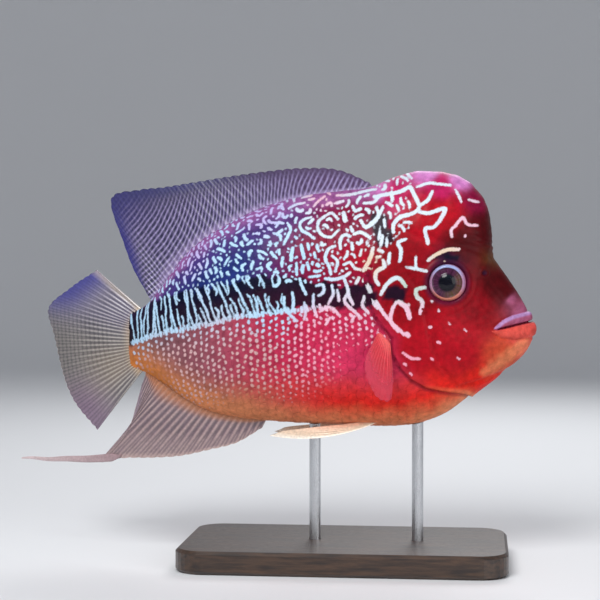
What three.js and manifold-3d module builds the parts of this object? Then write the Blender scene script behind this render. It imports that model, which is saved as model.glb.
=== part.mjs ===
// A grown male flowerhorn cichlid, life size, held by a display stand.
// Millimetres, +Z up. The head points to +X, the right flank faces -Y, and the
// origin is the middle of the underside of the stand's base.
import * as THREE from 'three';
import { mergeVertices } from 'three/addons/utils/BufferGeometryUtils.js';
import Module from 'manifold-3d';

const wasm = await Module();
wasm.setup();

// Driving sizes
const GAP = 0.3;
const FISH_SHIFT = -8;
const BEND_START = -30;
const BEND_RADIUS = 300;
const SLICES_PER_STATION = 2;
const POINTS_ROUND = 26;
const SHELL_DEPTH = 4;
const FAR = 150;
const WELD = 1e-4;
const ROOT_INSET = 2.5;
// Beyond these the parting outlines lie clear of the fish
const CLEAR_ABOVE = 230;
const CLEAR_BELOW = 40;
const CLEAR_AHEAD = 150;

const EYE = { at: [61.6, 147.6], side: 19.2, radius: 9.4, depth: 7.0 };
const BASE = { length: 170, width: 92, thick: 12, corner: 14, bevel: 1.6, holeDepth: 6, holeRise: 4 };
const ROD = { radius: 3, front: 46, rear: -8, sides: 16 };
const BODY_TOP_OF_ROD = 84;

// The body's sections from the mouth to the root of the tail fin. Each one fans out from
// a point on the body's middle line to a point on its back and one on its belly. The
// width is half the body's, and the two full values say how square each half is.
const SECTIONS = [
  { mid: [104.6, 127.4], top: [104.6, 127.4], low: [104.6, 127.4], width: 0.0, fullTop: 2.0, fullLow: 2.0 },
  { mid: [103.2, 127.1], top: [104.0, 130.8], low: [106.0, 125.4], width: 4.4, fullTop: 2.2, fullLow: 2.2 },
  { mid: [99.0, 126.3], top: [102.3, 134.2], low: [106.2, 121.4], width: 7.9, fullTop: 2.2, fullLow: 2.3 },
  { mid: [92.8, 124.8], top: [97.9, 141.8], low: [104.0, 114.9], width: 11.0, fullTop: 2.2, fullLow: 2.3 },
  { mid: [87.6, 123.7], top: [92.1, 150.6], low: [100.1, 109.2], width: 13.5, fullTop: 2.2, fullLow: 2.2 },
  { mid: [83.0, 123.2], top: [87.4, 157.4], low: [94.9, 104.4], width: 15.8, fullTop: 2.2, fullLow: 2.1 },
  { mid: [78.3, 123.1], top: [85.0, 163.8], low: [88.9, 99.4], width: 18.0, fullTop: 2.3, fullLow: 2.0 },
  { mid: [73.7, 123.1], top: [84.3, 174.0], low: [82.5, 94.5], width: 20.0, fullTop: 2.5, fullLow: 1.9 },
  { mid: [69.0, 123.6], top: [81.8, 187.2], low: [76.3, 90.2], width: 21.8, fullTop: 2.6, fullLow: 1.9 },
  { mid: [63.8, 124.1], top: [74.0, 198.6], low: [70.1, 85.5], width: 23.4, fullTop: 2.6, fullLow: 1.9 },
  { mid: [57.5, 125.1], top: [61.5, 204.3], low: [61.8, 79.6], width: 25.0, fullTop: 2.5, fullLow: 2.0 },
  { mid: [49.7, 126.7], top: [48.0, 205.4], low: [52.4, 75.3], width: 26.0, fullTop: 2.4, fullLow: 2.0 },
  { mid: [39.3, 128.2], top: [33.9, 202.4], low: [39.4, 72.4], width: 27.0, fullTop: 2.2, fullLow: 2.1 },
  { mid: [26.2, 129.7], top: [20.9, 197.3], low: [26.2, 71.9], width: 27.6, fullTop: 2.0, fullLow: 2.1 },
  { mid: [10.4, 131.2], top: [5.7, 195.6], low: [10.5, 72.3], width: 27.8, fullTop: 1.9, fullLow: 2.1 },
  { mid: [-10.7, 132.2], top: [-14.4, 192.9], low: [-10.7, 72.8], width: 27.0, fullTop: 1.9, fullLow: 2.0 },
  { mid: [-31.9, 131.1], top: [-36.2, 186.9], low: [-32.0, 73.9], width: 25.0, fullTop: 1.9, fullLow: 1.9 },
  { mid: [-50.7, 128.4], top: [-54.5, 178.4], low: [-50.8, 75.8], width: 21.8, fullTop: 1.9, fullLow: 1.8 },
  { mid: [-67.1, 124.5], top: [-69.3, 169.4], low: [-65.5, 78.9], width: 18.0, fullTop: 1.9, fullLow: 1.8 },
  { mid: [-81.1, 121.2], top: [-80.9, 158.6], low: [-78.9, 85.4], width: 14.0, fullTop: 2.0, fullLow: 1.9 },
  { mid: [-93.7, 118.3], top: [-92.0, 144.0], low: [-90.9, 93.2], width: 10.0, fullTop: 2.1, fullLow: 2.0 },
  { mid: [-102.5, 116.6], top: [-101.6, 134.2], low: [-100.2, 98.2], width: 6.4, fullTop: 2.2, fullLow: 2.1 },
  { mid: [-110.3, 115.9], top: [-109.6, 131.2], low: [-109.2, 100.8], width: 2.4, fullTop: 2.2, fullLow: 2.2 },
];

// Lines on the side view where the head is parted, each from its first end to its last
const GILL_EDGE = [
  [21.9, 215], [21.9, 195.7], [23.0, 164.3], [22.5, 143.4], [24.6, 131.8], [29.3, 125.5],
  [34.2, 119.3], [34.1, 111.9], [38.3, 103.6], [43.0, 98.3], [50.8, 93.7], [60.2, 91.7],
  [71.0, 89.9], [84.0, 82.0],
];
const GILL_COVER_REAR = { from: 3, to: 12 };
const GILL_FRONT = [
  [66.5, 94.6], [58.6, 104.7], [53.4, 117.3], [50.8, 130.3], [46.0, 146.0], [37.0, 158.0], [27.0, 162.0],
];
const HUMP_LINE = [
  [100, 159.6], [84.5, 160.6], [73.0, 165.9], [62.6, 167.9], [47.0, 170.6], [34.0, 176.9], [15.0, 193.0],
];
const OVER_HUMP = [[15, CLEAR_ABOVE], [130, CLEAR_ABOVE], [130, 159.6]];
const MOUTH_LINE = [[86.3, 123.4], [92.8, 124.8], [99.0, 126.3], [112.0, 128.8]];
const MOUTH_OPEN = 0.9;
const UPPER_LIP_LINE = [[112, 137], [102.0, 134.4], [95.2, 133.0], [88.4, 129.6], [84.2, 123.9]];
const LOWER_LIP_LINE = [[84.2, 122.6], [89.0, 119.3], [95.2, 118.2], [101.0, 118.8], [112, 120.4]];
const JAW_REAR = [[84.2, 122.6], [80.4, 117.4], [76.3, 105.6], [72.2, 97.6]];
const MEMBRANE_LINE = [[103, 106.4], [96.0, 103.4], [88.9, 100.6], [78.4, 97.0], [69.0, 94.4]];
const UNDER_MEMBRANE = [[69, 80], [103, 80]];
const UNDER_JAW = [[72.2, 60], [130, 60], [130, 122.6]];
const AHEAD_OF_GILLS = [[CLEAR_AHEAD, 82], [CLEAR_AHEAD, 215]];
const TRUNK_CUT = [[-16, CLEAR_ABOVE], [-12, CLEAR_BELOW]];
const STALK_CUT = [[-82, CLEAR_ABOVE], [-100, CLEAR_BELOW]];
const AHEAD_OF_CUT = [[CLEAR_AHEAD, CLEAR_BELOW], [CLEAR_AHEAD, CLEAR_ABOVE]];

// Fins as rays, each from its root on the body to its tip on the fin's margin
const DORSAL = {
  rays: [
    { root: [22.4, 197.0], tip: [20.4, 199.8] },
    { root: [10.4, 195.8], tip: [5.1, 206.2] },
    { root: [-5.4, 194.2], tip: [-14.4, 207.4] },
    { root: [-23.9, 190.6], tip: [-36.1, 205.6] },
    { root: [-39.9, 185.4], tip: [-56.0, 203.1] },
    { root: [-55.5, 177.6], tip: [-75.3, 200.2] },
    { root: [-68.1, 170.0], tip: [-90.6, 198.0] },
    { root: [-78.2, 161.2], tip: [-104.1, 196.8] },
    { root: [-86.7, 150.6], tip: [-120.6, 192.2] },
    { root: [-91.4, 144.8], tip: [-113.7, 168.7] },
    { root: [-94.6, 140.6], tip: [-107.8, 153.6] },
    { root: [-97.4, 138.1], tip: [-100.6, 141.3] },
  ],
  columns: 26, rows: 3, rootThick: 3.2, tipThick: 0.7, wave: 1.4, waves: 1.6,
};
const DORSAL_SPLIT = 0.5;
const DORSAL_SPLIT_GAP = 0.00115;

const ANAL = {
  rays: [
    { root: [-34.1, 74.5], tip: [-36.2, 70.2] },
    { root: [-42.7, 74.6], tip: [-49.1, 62.5] },
    { root: [-53.5, 76.2], tip: [-65.6, 57.9] },
    { root: [-63.3, 78.6], tip: [-81.2, 54.3] },
    { root: [-71.6, 82.0], tip: [-98.5, 52.6] },
    { root: [-79.5, 86.4], tip: [-115.3, 51.6] },
    { root: [-87.0, 91.0], tip: [-130.3, 48.9] },
    { root: [-92.1, 93.9], tip: [-122.1, 54.8] },
    { root: [-95.6, 95.9], tip: [-111.6, 66.6] },
    { root: [-98.4, 97.2], tip: [-105.6, 82.5] },
    { root: [-100.4, 98.2], tip: [-102.6, 92.0] },
  ],
  columns: 18, rows: 3, rootThick: 3.0, tipThick: 0.8, wave: 1.2, waves: 1.2,
};

const FILAMENT = {
  from: [-121.0, 52.2], to: [-183.5, 47.9], height: 4.4, endHeight: 0.9, thick: 1.0, pieces: 6,
};
const FILAMENT_CUT = [[-124.5, 20], [-124.5, 62], [-250, 62], [-250, 20]];

const CAUDAL = {
  rays: [
    { root: [-103.4, 132.4], tip: [-130.6, 153.6] },
    { root: [-106.0, 126.0], tip: [-147.0, 143.6] },
    { root: [-106.8, 121.3], tip: [-163.7, 131.2] },
    { root: [-107.0, 115.9], tip: [-160.8, 117.6] },
    { root: [-106.8, 110.5], tip: [-155.2, 101.2] },
    { root: [-106.0, 105.1], tip: [-145.6, 83.5] },
    { root: [-103.0, 99.6], tip: [-130.6, 66.6] },
  ],
  columns: 18, rows: 4, rootThick: 3.6, tipThick: 0.8, wave: 1.8, waves: 1.5,
};

const PECTORAL = {
  rays: [
    { root: [27.4, 123.6], tip: [23.6, 116.6] },
    { root: [28.4, 122.8], tip: [20.8, 109.6] },
    { root: [29.4, 121.6], tip: [21.2, 102.4] },
    { root: [30.4, 120.2], tip: [23.8, 96.2] },
    { root: [31.4, 118.8], tip: [28.6, 89.8] },
    { root: [32.2, 117.6], tip: [33.4, 88.8] },
    { root: [33.0, 116.6], tip: [35.2, 98.0] },
  ],
  columns: 10, rows: 3, rootThick: 2.2, tipThick: 0.7, wave: 0.8, waves: 1,
  rootSide: 25.5, spread: [4, 10, 15, 19, 22, 21, 12],
};

const PELVIC = {
  rays: [
    { root: [26.6, 75.2], tip: [-30.8, 67.4] },
    { root: [25.6, 75.3], tip: [-26.0, 69.4] },
    { root: [24.4, 75.4], tip: [-17.0, 70.8] },
    { root: [23.2, 75.5], tip: [-6.0, 72.0] },
    { root: [22.0, 75.6], tip: [6.0, 73.2] },
  ],
  columns: 6, rows: 5, rootThick: 2.6, tipThick: 0.9, wave: 0.4, waves: 1,
  rootSide: 7.4, spread: [3.2, 2.8, 2.4, 1.6, 0.8], droop: 4.6,
};

const COLOURS = {
  head: 0xa3202c, hump: 0xd8506e, lip: 0xe8a29a, jaw: 0xcf8a62, membrane: 0xc33a35, gill: 0x9c2a45,
  trunk: 0x8d4a6a, stalk: 0xb07a58, dorsal: 0x54508f, anal: 0x9b6a78, tail: 0x8a86a8,
  pectoral: 0xdf9c98, pelvic: 0xf0e4d0, eye: 0x3a1f2a, base: 0x2b2b2e, rod: 0xb8bcc2,
};

const fish = new THREE.Group();

// From a distance along the fish, a distance to its left and a height to the model's frame
function place(along, left, height) {
  const turn = Math.max(0, BEND_START - along) / BEND_RADIUS;
  const x = turn > 0 ? BEND_START - BEND_RADIUS * Math.sin(turn) : along;
  const y = turn > 0 ? BEND_RADIUS * (1 - Math.cos(turn)) : 0;
  return [FISH_SHIFT + x + left * Math.sin(turn), y + left * Math.cos(turn), height];
}

// A smooth curve through rows of numbers, the rows spaced by the knots
function smoothRow(rows, knots, at) {
  let i = 0;
  while (i < rows.length - 2 && knots[i + 1] < at) {
    i += 1;
  }
  const span = knots[i + 1] - knots[i];
  const t = (at - knots[i]) / span;
  const slope = (row, column) => {
    const before = Math.max(0, row - 1);
    const after = Math.min(rows.length - 1, row + 1);
    if (before === row || after === row) {
      return (rows[after][column] - rows[before][column]) / (knots[after] - knots[before]);
    }
    const near = knots[row] - knots[before];
    const far = knots[after] - knots[row];
    const back = (rows[row][column] - rows[before][column]) / near;
    const ahead = (rows[after][column] - rows[row][column]) / far;
    return (back * far + ahead * near) / (near + far);
  };
  return rows[i].map((value, column) => {
    const end = rows[i + 1][column];
    const keep = (1 + 2 * t) * (1 - t) ** 2;
    const bend = t * (1 - t) ** 2 * span * slope(i, column);
    const bendEnd = t * t * (t - 1) * span * slope(i + 1, column);
    return keep * value + (1 - keep) * end + bend + bendEnd;
  });
}

// Knots as far apart as the points of the rows are on average
function knotsOf(rows, pairs) {
  const knots = [0];
  for (let i = 1; i < rows.length; i += 1) {
    let sum = 0;
    for (let p = 0; p < pairs; p += 1) {
      sum += Math.hypot(rows[i][2 * p] - rows[i - 1][2 * p], rows[i][2 * p + 1] - rows[i - 1][2 * p + 1]);
    }
    knots.push(knots[i - 1] + sum / pairs);
  }
  return knots;
}

const BODY_ROWS = SECTIONS.map((s) => [...s.mid, ...s.top, ...s.low, s.width, s.fullTop, s.fullLow]);
const BODY_KNOTS = knotsOf(BODY_ROWS, 3);

// One point of the body's surface, at a knot and an angle from the back (0) to the belly (PI)
function bodyPoint(knot, angle, grow) {
  const [ma, mz, ta, tz, la, lz, width, fullTop, fullLow] = smoothRow(BODY_ROWS, BODY_KNOTS, knot);
  const upper = Math.cos(angle) >= 0;
  const [ea, ez] = upper ? [ta, tz] : [la, lz];
  const full = upper ? fullTop : fullLow;
  const reach = Math.hypot(ea - ma, ez - mz);
  const scale = reach > 0 ? Math.max(0.01, reach + grow) / reach : 1;
  const out = Math.abs(Math.cos(angle)) ** (2 / full) * scale;
  const half = Math.max(0.05, width + grow) * Math.abs(Math.sin(angle)) ** (2 / full);
  const left = Math.sin(angle) >= 0 ? -half : half;
  return place(ma + (ea - ma) * out, left, mz + (ez - mz) * out);
}

// Closed geometry from rings of points, with its two ends closed to a point each
function closedRings(rings, first, last) {
  const points = [first];
  const faces = [];
  const round = rings[0].length;
  rings.forEach((ring) => points.push(...ring));
  points.push(last);
  const end = points.length - 1;
  for (let k = 0; k < round; k += 1) {
    const next = (k + 1) % round;
    faces.push(0, 1 + k, 1 + next);
    for (let r = 0; r < rings.length - 1; r += 1) {
      const here = 1 + r * round;
      const there = here + round;
      faces.push(here + k, there + k, here + next);
      faces.push(here + next, there + k, there + next);
    }
    const tail = 1 + (rings.length - 1) * round;
    faces.push(tail + k, end, tail + next);
  }
  return geometryOf(points, faces);
}

function geometryOf(points, faces) {
  const geometry = new THREE.BufferGeometry();
  geometry.setAttribute('position', new THREE.Float32BufferAttribute(points.flat(), 3));
  geometry.setIndex(faces);
  return geometry;
}

function solidOf(geometry) {
  const bare = geometry.clone();
  bare.deleteAttribute('normal');
  bare.deleteAttribute('uv');
  const merged = mergeVertices(bare, WELD);
  return new wasm.Manifold(new wasm.Mesh({
    numProp: 3,
    vertProperties: new Float32Array(merged.attributes.position.array),
    triVerts: new Uint32Array(merged.index.array),
  }));
}

function addSolid(name, solid, colour, roughness = 0.45, metalness = 0) {
  const mesh = solid.getMesh();
  const geometry = new THREE.BufferGeometry();
  geometry.setAttribute('position', new THREE.BufferAttribute(mesh.vertProperties, 3));
  geometry.setIndex(new THREE.BufferAttribute(mesh.triVerts, 1));
  const material = new THREE.MeshStandardMaterial({ color: colour, roughness, metalness });
  const piece = new THREE.Mesh(geometry, material);
  piece.name = name;
  fish.add(piece);
}

function bodySolid(grow) {
  const last = BODY_KNOTS.length - 1;
  const rings = [];
  for (let s = 0; s < last; s += 1) {
    for (let k = s === 0 ? 1 : 0; k < SLICES_PER_STATION; k += 1) {
      rings.push(BODY_KNOTS[s] + (BODY_KNOTS[s + 1] - BODY_KNOTS[s]) * k / SLICES_PER_STATION);
    }
  }
  rings.push(BODY_KNOTS[last]);
  const ringPoints = rings.map((knot) => Array.from({ length: POINTS_ROUND }, (_, k) => (
    bodyPoint(knot, 2 * Math.PI * (k + 0.5) / POINTS_ROUND, grow)
  )));
  const mouth = SECTIONS[0].mid;
  const tail = SECTIONS[last].mid;
  const first = place(mouth[0] + grow, 0, mouth[1]);
  const end = place(tail[0] - grow, 0, tail[1]);
  return solidOf(closedRings(ringPoints, first, end));
}

// A block that stands on a side view outline and reaches from one side to the other
function prism(outline, yMin = -FAR, yMax = FAR) {
  const turnedRight = THREE.ShapeUtils.area(outline.map(([x, z]) => new THREE.Vector2(x, z))) < 0;
  const ordered = turnedRight ? [...outline].reverse() : outline;
  const shape = new THREE.Shape(ordered.map(([x, z]) => new THREE.Vector2(x + FISH_SHIFT, z)));
  const geometry = new THREE.ExtrudeGeometry(shape, { depth: yMax - yMin, bevelEnabled: false });
  geometry.rotateX(Math.PI / 2);
  geometry.translate(0, yMax, 0);
  return solidOf(geometry);
}

// A line moved to its left by a distance
function shifted(line, distance) {
  return line.map(([x, z], i) => {
    const before = line[Math.max(0, i - 1)];
    const after = line[Math.min(line.length - 1, i + 1)];
    const length = Math.hypot(after[0] - before[0], after[1] - before[1]);
    return [x - distance * (after[1] - before[1]) / length, z + distance * (after[0] - before[0]) / length];
  });
}

// A closed outline with every edge moved out by a distance
function grown(outline, distance) {
  const area = THREE.ShapeUtils.area(outline.map(([x, z]) => new THREE.Vector2(x, z)));
  const out = area > 0 ? -distance : distance;
  const count = outline.length;
  const normals = outline.map(([x, z], i) => {
    const next = outline[(i + 1) % count];
    const length = Math.hypot(next[0] - x, next[1] - z);
    return [-(next[1] - z) / length, (next[0] - x) / length];
  });
  return outline.map(([x, z], i) => {
    const a = normals[(i + count - 1) % count];
    const b = normals[i];
    const miter = out / Math.max(0.3, 1 + a[0] * b[0] + a[1] * b[1]);
    return [x + (a[0] + b[0]) * miter, z + (a[1] + b[1]) * miter];
  });
}

// Parts a solid by a side view outline: what lies within it, and the rest
function part(solid, outline) {
  return [solid.intersect(prism(outline)), solid.subtract(prism(grown(outline, GAP)))];
}

// A fin as a thin closed sheet with one column of points for each of its rays
function finSolid(fin, from = 0, to = 1, mirror = 1) {
  const rows = fin.rays.map((ray, i) => [...ray.root, ...ray.tip, fin.spread ? fin.spread[i] : 0]);
  const knots = knotsOf(rows, 2);
  const end = knots[knots.length - 1];
  const columns = Math.max(2, Math.round(fin.columns * (to - from)));
  const right = [];
  const left = [];
  for (let c = 0; c <= columns; c += 1) {
    const at = (from + (to - from) * c / columns) * end;
    const [ra, rz, ta, tz, spread] = smoothRow(rows, knots, at);
    const inner = -ROOT_INSET / Math.max(ROOT_INSET, Math.hypot(ta - ra, tz - rz));
    for (let r = 0; r <= fin.rows; r += 1) {
      const v = inner + (1 - inner) * r / fin.rows;
      const sag = fin.droop ? 4 * fin.droop * Math.max(0, v) * (1 - v) * (1 - at / end) : 0;
      const thick = fin.rootThick + (fin.tipThick - fin.rootThick) * Math.sqrt(Math.max(0, v));
      const wave = fin.wave * Math.max(0, v) ** 2 * Math.sin(2 * Math.PI * fin.waves * at / end);
      const middle = (fin.rootSide || 0) + spread * Math.max(0, v) + wave;
      const spot = [ra + (ta - ra) * v, rz + (tz - rz) * v - sag];
      right.push(place(spot[0], mirror * (-middle - thick / 2), spot[1]));
      left.push(place(spot[0], mirror * (-middle + thick / 2), spot[1]));
    }
  }
  return sheetSolid(right, left, columns, fin.rows, mirror);
}

function sheetSolid(right, left, columns, rows, mirror) {
  const stride = rows + 1;
  const faces = [];
  const quad = (a, b, c, d) => faces.push(a, b, c, a, c, d);
  const back = right.length;
  for (let c = 0; c < columns; c += 1) {
    for (let r = 0; r < rows; r += 1) {
      const here = c * stride + r;
      quad(here, here + 1, here + stride + 1, here + stride);
      quad(back + here, back + here + stride, back + here + stride + 1, back + here + 1);
    }
    const root = c * stride;
    quad(root, root + stride, back + root + stride, back + root);
    const tip = root + rows;
    quad(tip, back + tip, back + tip + stride, tip + stride);
  }
  for (let r = 0; r < rows; r += 1) {
    quad(r, back + r, back + r + 1, r + 1);
    const last = columns * stride + r;
    quad(last, last + 1, back + last + 1, back + last);
  }
  let geometry = geometryOf([...right, ...left], faces);
  if (volumeOf(geometry) < 0) {
    geometry = geometryOf([...right, ...left], faces.toReversed());
  }
  return solidOf(geometry);
}

function volumeOf(geometry) {
  const index = geometry.index.array;
  const spots = geometry.attributes.position;
  const [a, b, c] = [new THREE.Vector3(), new THREE.Vector3(), new THREE.Vector3()];
  let sum = 0;
  for (let i = 0; i < index.length; i += 3) {
    a.fromBufferAttribute(spots, index[i]);
    b.fromBufferAttribute(spots, index[i + 1]);
    c.fromBufferAttribute(spots, index[i + 2]);
    sum += a.dot(b.cross(c)) / 6;
  }
  return sum;
}

// The long thread that trails from the corner of the anal fin
function filamentSolid() {
  const right = [];
  const left = [];
  for (let c = 0; c <= FILAMENT.pieces; c += 1) {
    const t = c / FILAMENT.pieces;
    const along = FILAMENT.from[0] + (FILAMENT.to[0] - FILAMENT.from[0]) * t;
    const middle = FILAMENT.from[1] + (FILAMENT.to[1] - FILAMENT.from[1]) * Math.sqrt(t);
    const half = (FILAMENT.height + (FILAMENT.endHeight - FILAMENT.height) * t ** 0.6) / 2;
    for (const up of [-1, 1]) {
      right.push(place(along, -FILAMENT.thick / 2, middle + up * half));
      left.push(place(along, FILAMENT.thick / 2, middle + up * half));
    }
  }
  return sheetSolid(right, left, FILAMENT.pieces, 1);
}

function eyeSolid(mirror, grow) {
  const ball = new THREE.SphereGeometry(1, 16, 9);
  ball.rotateX(Math.PI / 2);
  ball.scale(EYE.radius + grow, EYE.depth + grow, EYE.radius + grow);
  ball.translate(EYE.at[0] + FISH_SHIFT, -mirror * EYE.side, EYE.at[1]);
  return solidOf(ball);
}

function rodSolid(along) {
  const from = BASE.thick - BASE.holeDepth + GAP;
  const rod = new THREE.CylinderGeometry(ROD.radius, ROD.radius, BODY_TOP_OF_ROD - from, ROD.sides);
  rod.rotateX(Math.PI / 2);
  rod.translate(along + FISH_SHIFT, 0, (BODY_TOP_OF_ROD + from) / 2);
  return solidOf(rod);
}

function rodHole(along) {
  const tall = BASE.holeDepth + BASE.holeRise;
  const hole = new THREE.CylinderGeometry(ROD.radius + GAP, ROD.radius + GAP, tall, ROD.sides);
  hole.rotateX(Math.PI / 2);
  hole.translate(along + FISH_SHIFT, 0, BASE.thick - BASE.holeDepth + tall / 2);
  return solidOf(hole);
}

function baseSolid() {
  const halfLength = BASE.length / 2 - BASE.bevel;
  const halfWidth = BASE.width / 2 - BASE.bevel;
  const shape = new THREE.Shape();
  const corner = BASE.corner;
  shape.moveTo(-halfLength + corner, -halfWidth);
  shape.lineTo(halfLength - corner, -halfWidth);
  shape.absarc(halfLength - corner, -halfWidth + corner, corner, -Math.PI / 2, 0);
  shape.lineTo(halfLength, halfWidth - corner);
  shape.absarc(halfLength - corner, halfWidth - corner, corner, 0, Math.PI / 2);
  shape.lineTo(-halfLength + corner, halfWidth);
  shape.absarc(-halfLength + corner, halfWidth - corner, corner, Math.PI / 2, Math.PI);
  shape.lineTo(-halfLength, -halfWidth + corner);
  shape.absarc(-halfLength + corner, -halfWidth + corner, corner, Math.PI, 1.5 * Math.PI);
  const plate = new THREE.ExtrudeGeometry(shape, {
    depth: BASE.thick - 2 * BASE.bevel,
    bevelThickness: BASE.bevel,
    bevelSize: BASE.bevel,
    bevelSegments: 1,
    curveSegments: 4,
  });
  plate.translate(0, 0, BASE.bevel);
  return solidOf(plate).subtract(rodHole(ROD.front)).subtract(rodHole(ROD.rear));
}

function addHeadParts(whole) {
  const [humpPart, belowHump] = part(whole, [...HUMP_LINE, ...OVER_HUMP]);
  addSolid('nuchal_hump', humpPart, COLOURS.hump);
  const slit = [...shifted(MOUTH_LINE, MOUTH_OPEN / 2).reverse(), ...shifted(MOUTH_LINE, -MOUTH_OPEN / 2)];
  let head = belowHump.subtract(prism(slit));

  const [upperLip, noUpperLip] = part(head, [...UPPER_LIP_LINE, ...MOUTH_LINE]);
  addSolid('upper_lip', upperLip, COLOURS.lip, 0.35);
  const [lowerLip, noLips] = part(noUpperLip, [...LOWER_LIP_LINE, ...MOUTH_LINE.toReversed()]);
  addSolid('lower_lip', lowerLip, COLOURS.lip, 0.35);
  const [membrane, noMembrane] = part(noLips, [...MEMBRANE_LINE, ...UNDER_MEMBRANE]);
  addSolid('gill_membrane', membrane, COLOURS.membrane, 0.35);
  const [jaw, skull] = part(noMembrane, [...JAW_REAR, ...UNDER_JAW]);
  addSolid('lower_jaw', jaw, COLOURS.jaw);
  head = skull;

  const core = bodySolid(-SHELL_DEPTH);
  const innerCore = bodySolid(-SHELL_DEPTH - GAP);
  const rear = GILL_EDGE.slice(GILL_COVER_REAR.from, GILL_COVER_REAR.to);
  const cover = [...GILL_FRONT, ...rear];
  const coverHole = grown(cover, GAP);
  for (const [side, name] of [[-1, 'gill_cover_right'], [1, 'gill_cover_left']]) {
    const low = side < 0 ? -FAR : 0;
    const high = side < 0 ? 0 : FAR;
    const shell = head.intersect(prism(cover, low, high)).subtract(core);
    addSolid(name, shell, COLOURS.gill);
    head = head.subtract(prism(coverHole, low, high).subtract(innerCore));
  }
  for (const [mirror, name] of [[1, 'eye_right'], [-1, 'eye_left']]) {
    addSolid(name, eyeSolid(mirror, 0), COLOURS.eye, 0.15);
    head = head.subtract(eyeSolid(mirror, GAP));
  }
  addSolid('head', head, COLOURS.head);
}

function addTrunkParts(whole) {
  const [front, behind] = part(whole, [...TRUNK_CUT, ...AHEAD_OF_CUT]);
  addSolid('trunk_front', front, COLOURS.trunk);
  const [rear, stalk] = part(behind, [...STALK_CUT, ...AHEAD_OF_CUT]);
  addSolid('trunk_rear', rear, COLOURS.trunk);
  addSolid('tail_stalk', stalk, COLOURS.stalk);
}

function addFins(bodyClear) {
  const dorsalFront = finSolid(DORSAL, 0, DORSAL_SPLIT - DORSAL_SPLIT_GAP);
  const dorsalRear = finSolid(DORSAL, DORSAL_SPLIT + DORSAL_SPLIT_GAP, 1);
  addSolid('dorsal_fin_spiny', dorsalFront.subtract(bodyClear), COLOURS.dorsal);
  addSolid('dorsal_fin_soft', dorsalRear.subtract(bodyClear), COLOURS.dorsal);
  const [filament, analFin] = part(finSolid(ANAL).add(filamentSolid()), FILAMENT_CUT);
  addSolid('anal_fin', analFin.subtract(bodyClear), COLOURS.anal);
  addSolid('anal_fin_filament', filament, COLOURS.anal);
  addSolid('tail_fin', finSolid(CAUDAL).subtract(bodyClear), COLOURS.tail);
  for (const [mirror, side] of [[1, 'right'], [-1, 'left']]) {
    addSolid(`pectoral_fin_${side}`, finSolid(PECTORAL, 0, 1, mirror).subtract(bodyClear), COLOURS.pectoral);
    addSolid(`pelvic_fin_${side}`, finSolid(PELVIC, 0, 1, mirror).subtract(bodyClear), COLOURS.pelvic);
  }
}

function addStand(bodyClear) {
  addSolid('stand_base', baseSolid(), COLOURS.base, 0.4);
  addSolid('stand_rod_front', rodSolid(ROD.front).subtract(bodyClear), COLOURS.rod, 0.25, 1);
  addSolid('stand_rod_rear', rodSolid(ROD.rear).subtract(bodyClear), COLOURS.rod, 0.25, 1);
}

const body = bodySolid(0);
const bodyClear = bodySolid(GAP);
const [headWhole, trunkWhole] = part(body, [...GILL_EDGE, ...AHEAD_OF_GILLS]);
addHeadParts(headWhole);
addTrunkParts(trunkWhole);
addFins(bodyClear);
addStand(bodyClear);

export default fish;
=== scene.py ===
import math

import bpy
import numpy as np
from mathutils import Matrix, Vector


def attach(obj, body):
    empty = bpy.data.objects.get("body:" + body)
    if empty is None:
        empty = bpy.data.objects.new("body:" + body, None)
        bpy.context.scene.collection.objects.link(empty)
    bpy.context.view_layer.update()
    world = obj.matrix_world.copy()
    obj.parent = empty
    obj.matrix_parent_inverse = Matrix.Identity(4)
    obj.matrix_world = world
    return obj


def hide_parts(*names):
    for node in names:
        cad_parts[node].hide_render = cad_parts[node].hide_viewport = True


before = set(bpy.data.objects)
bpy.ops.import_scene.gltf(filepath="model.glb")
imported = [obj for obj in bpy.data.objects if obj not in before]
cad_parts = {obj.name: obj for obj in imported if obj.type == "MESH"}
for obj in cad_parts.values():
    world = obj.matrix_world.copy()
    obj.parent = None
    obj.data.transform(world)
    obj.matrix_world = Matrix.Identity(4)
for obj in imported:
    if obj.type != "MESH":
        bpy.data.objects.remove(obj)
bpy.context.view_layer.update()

# A grown flowerhorn cichlid as a still model on its stand. The fish is worked out straight,
# in millimetres: a runs along it to the head, s to its left and z up. place() bends its
# rear part and turns the lengths into the frame's metres.
MM = 0.001
FISH_SHIFT = -8.0
BEND_START = -30.0
BEND_RADIUS = 300.0

# Camera and light, in metres and degrees
CAMERA = {"azimuth": 6.0, "elevation": 1.5, "distance": 0.878, "target": (-0.024, 0.0, 0.138)}
LENS = 100.0
SENSOR = 36.0
FLOOR_RADIUS = 2.4
WALL_HEIGHT = 1.5
WALL_BEND = 0.9
STAGE_ROUND = 96
STAGE_COLOUR = (0.74, 0.75, 0.77, 1)
SKY_COLOUR = (0.9, 0.93, 1.0, 1)
SKY_STRENGTH = 0.3
# Lamps by name: place and size in metres, and watts
LAMPS = {
    "key": ((-0.25, -0.75, 0.85), 0.5, 9.5),
    "fill": ((0.75, -0.8, 0.35), 0.8, 4.0),
    "rim": ((0.1, 0.8, 0.75), 0.6, 5.0),
}

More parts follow.
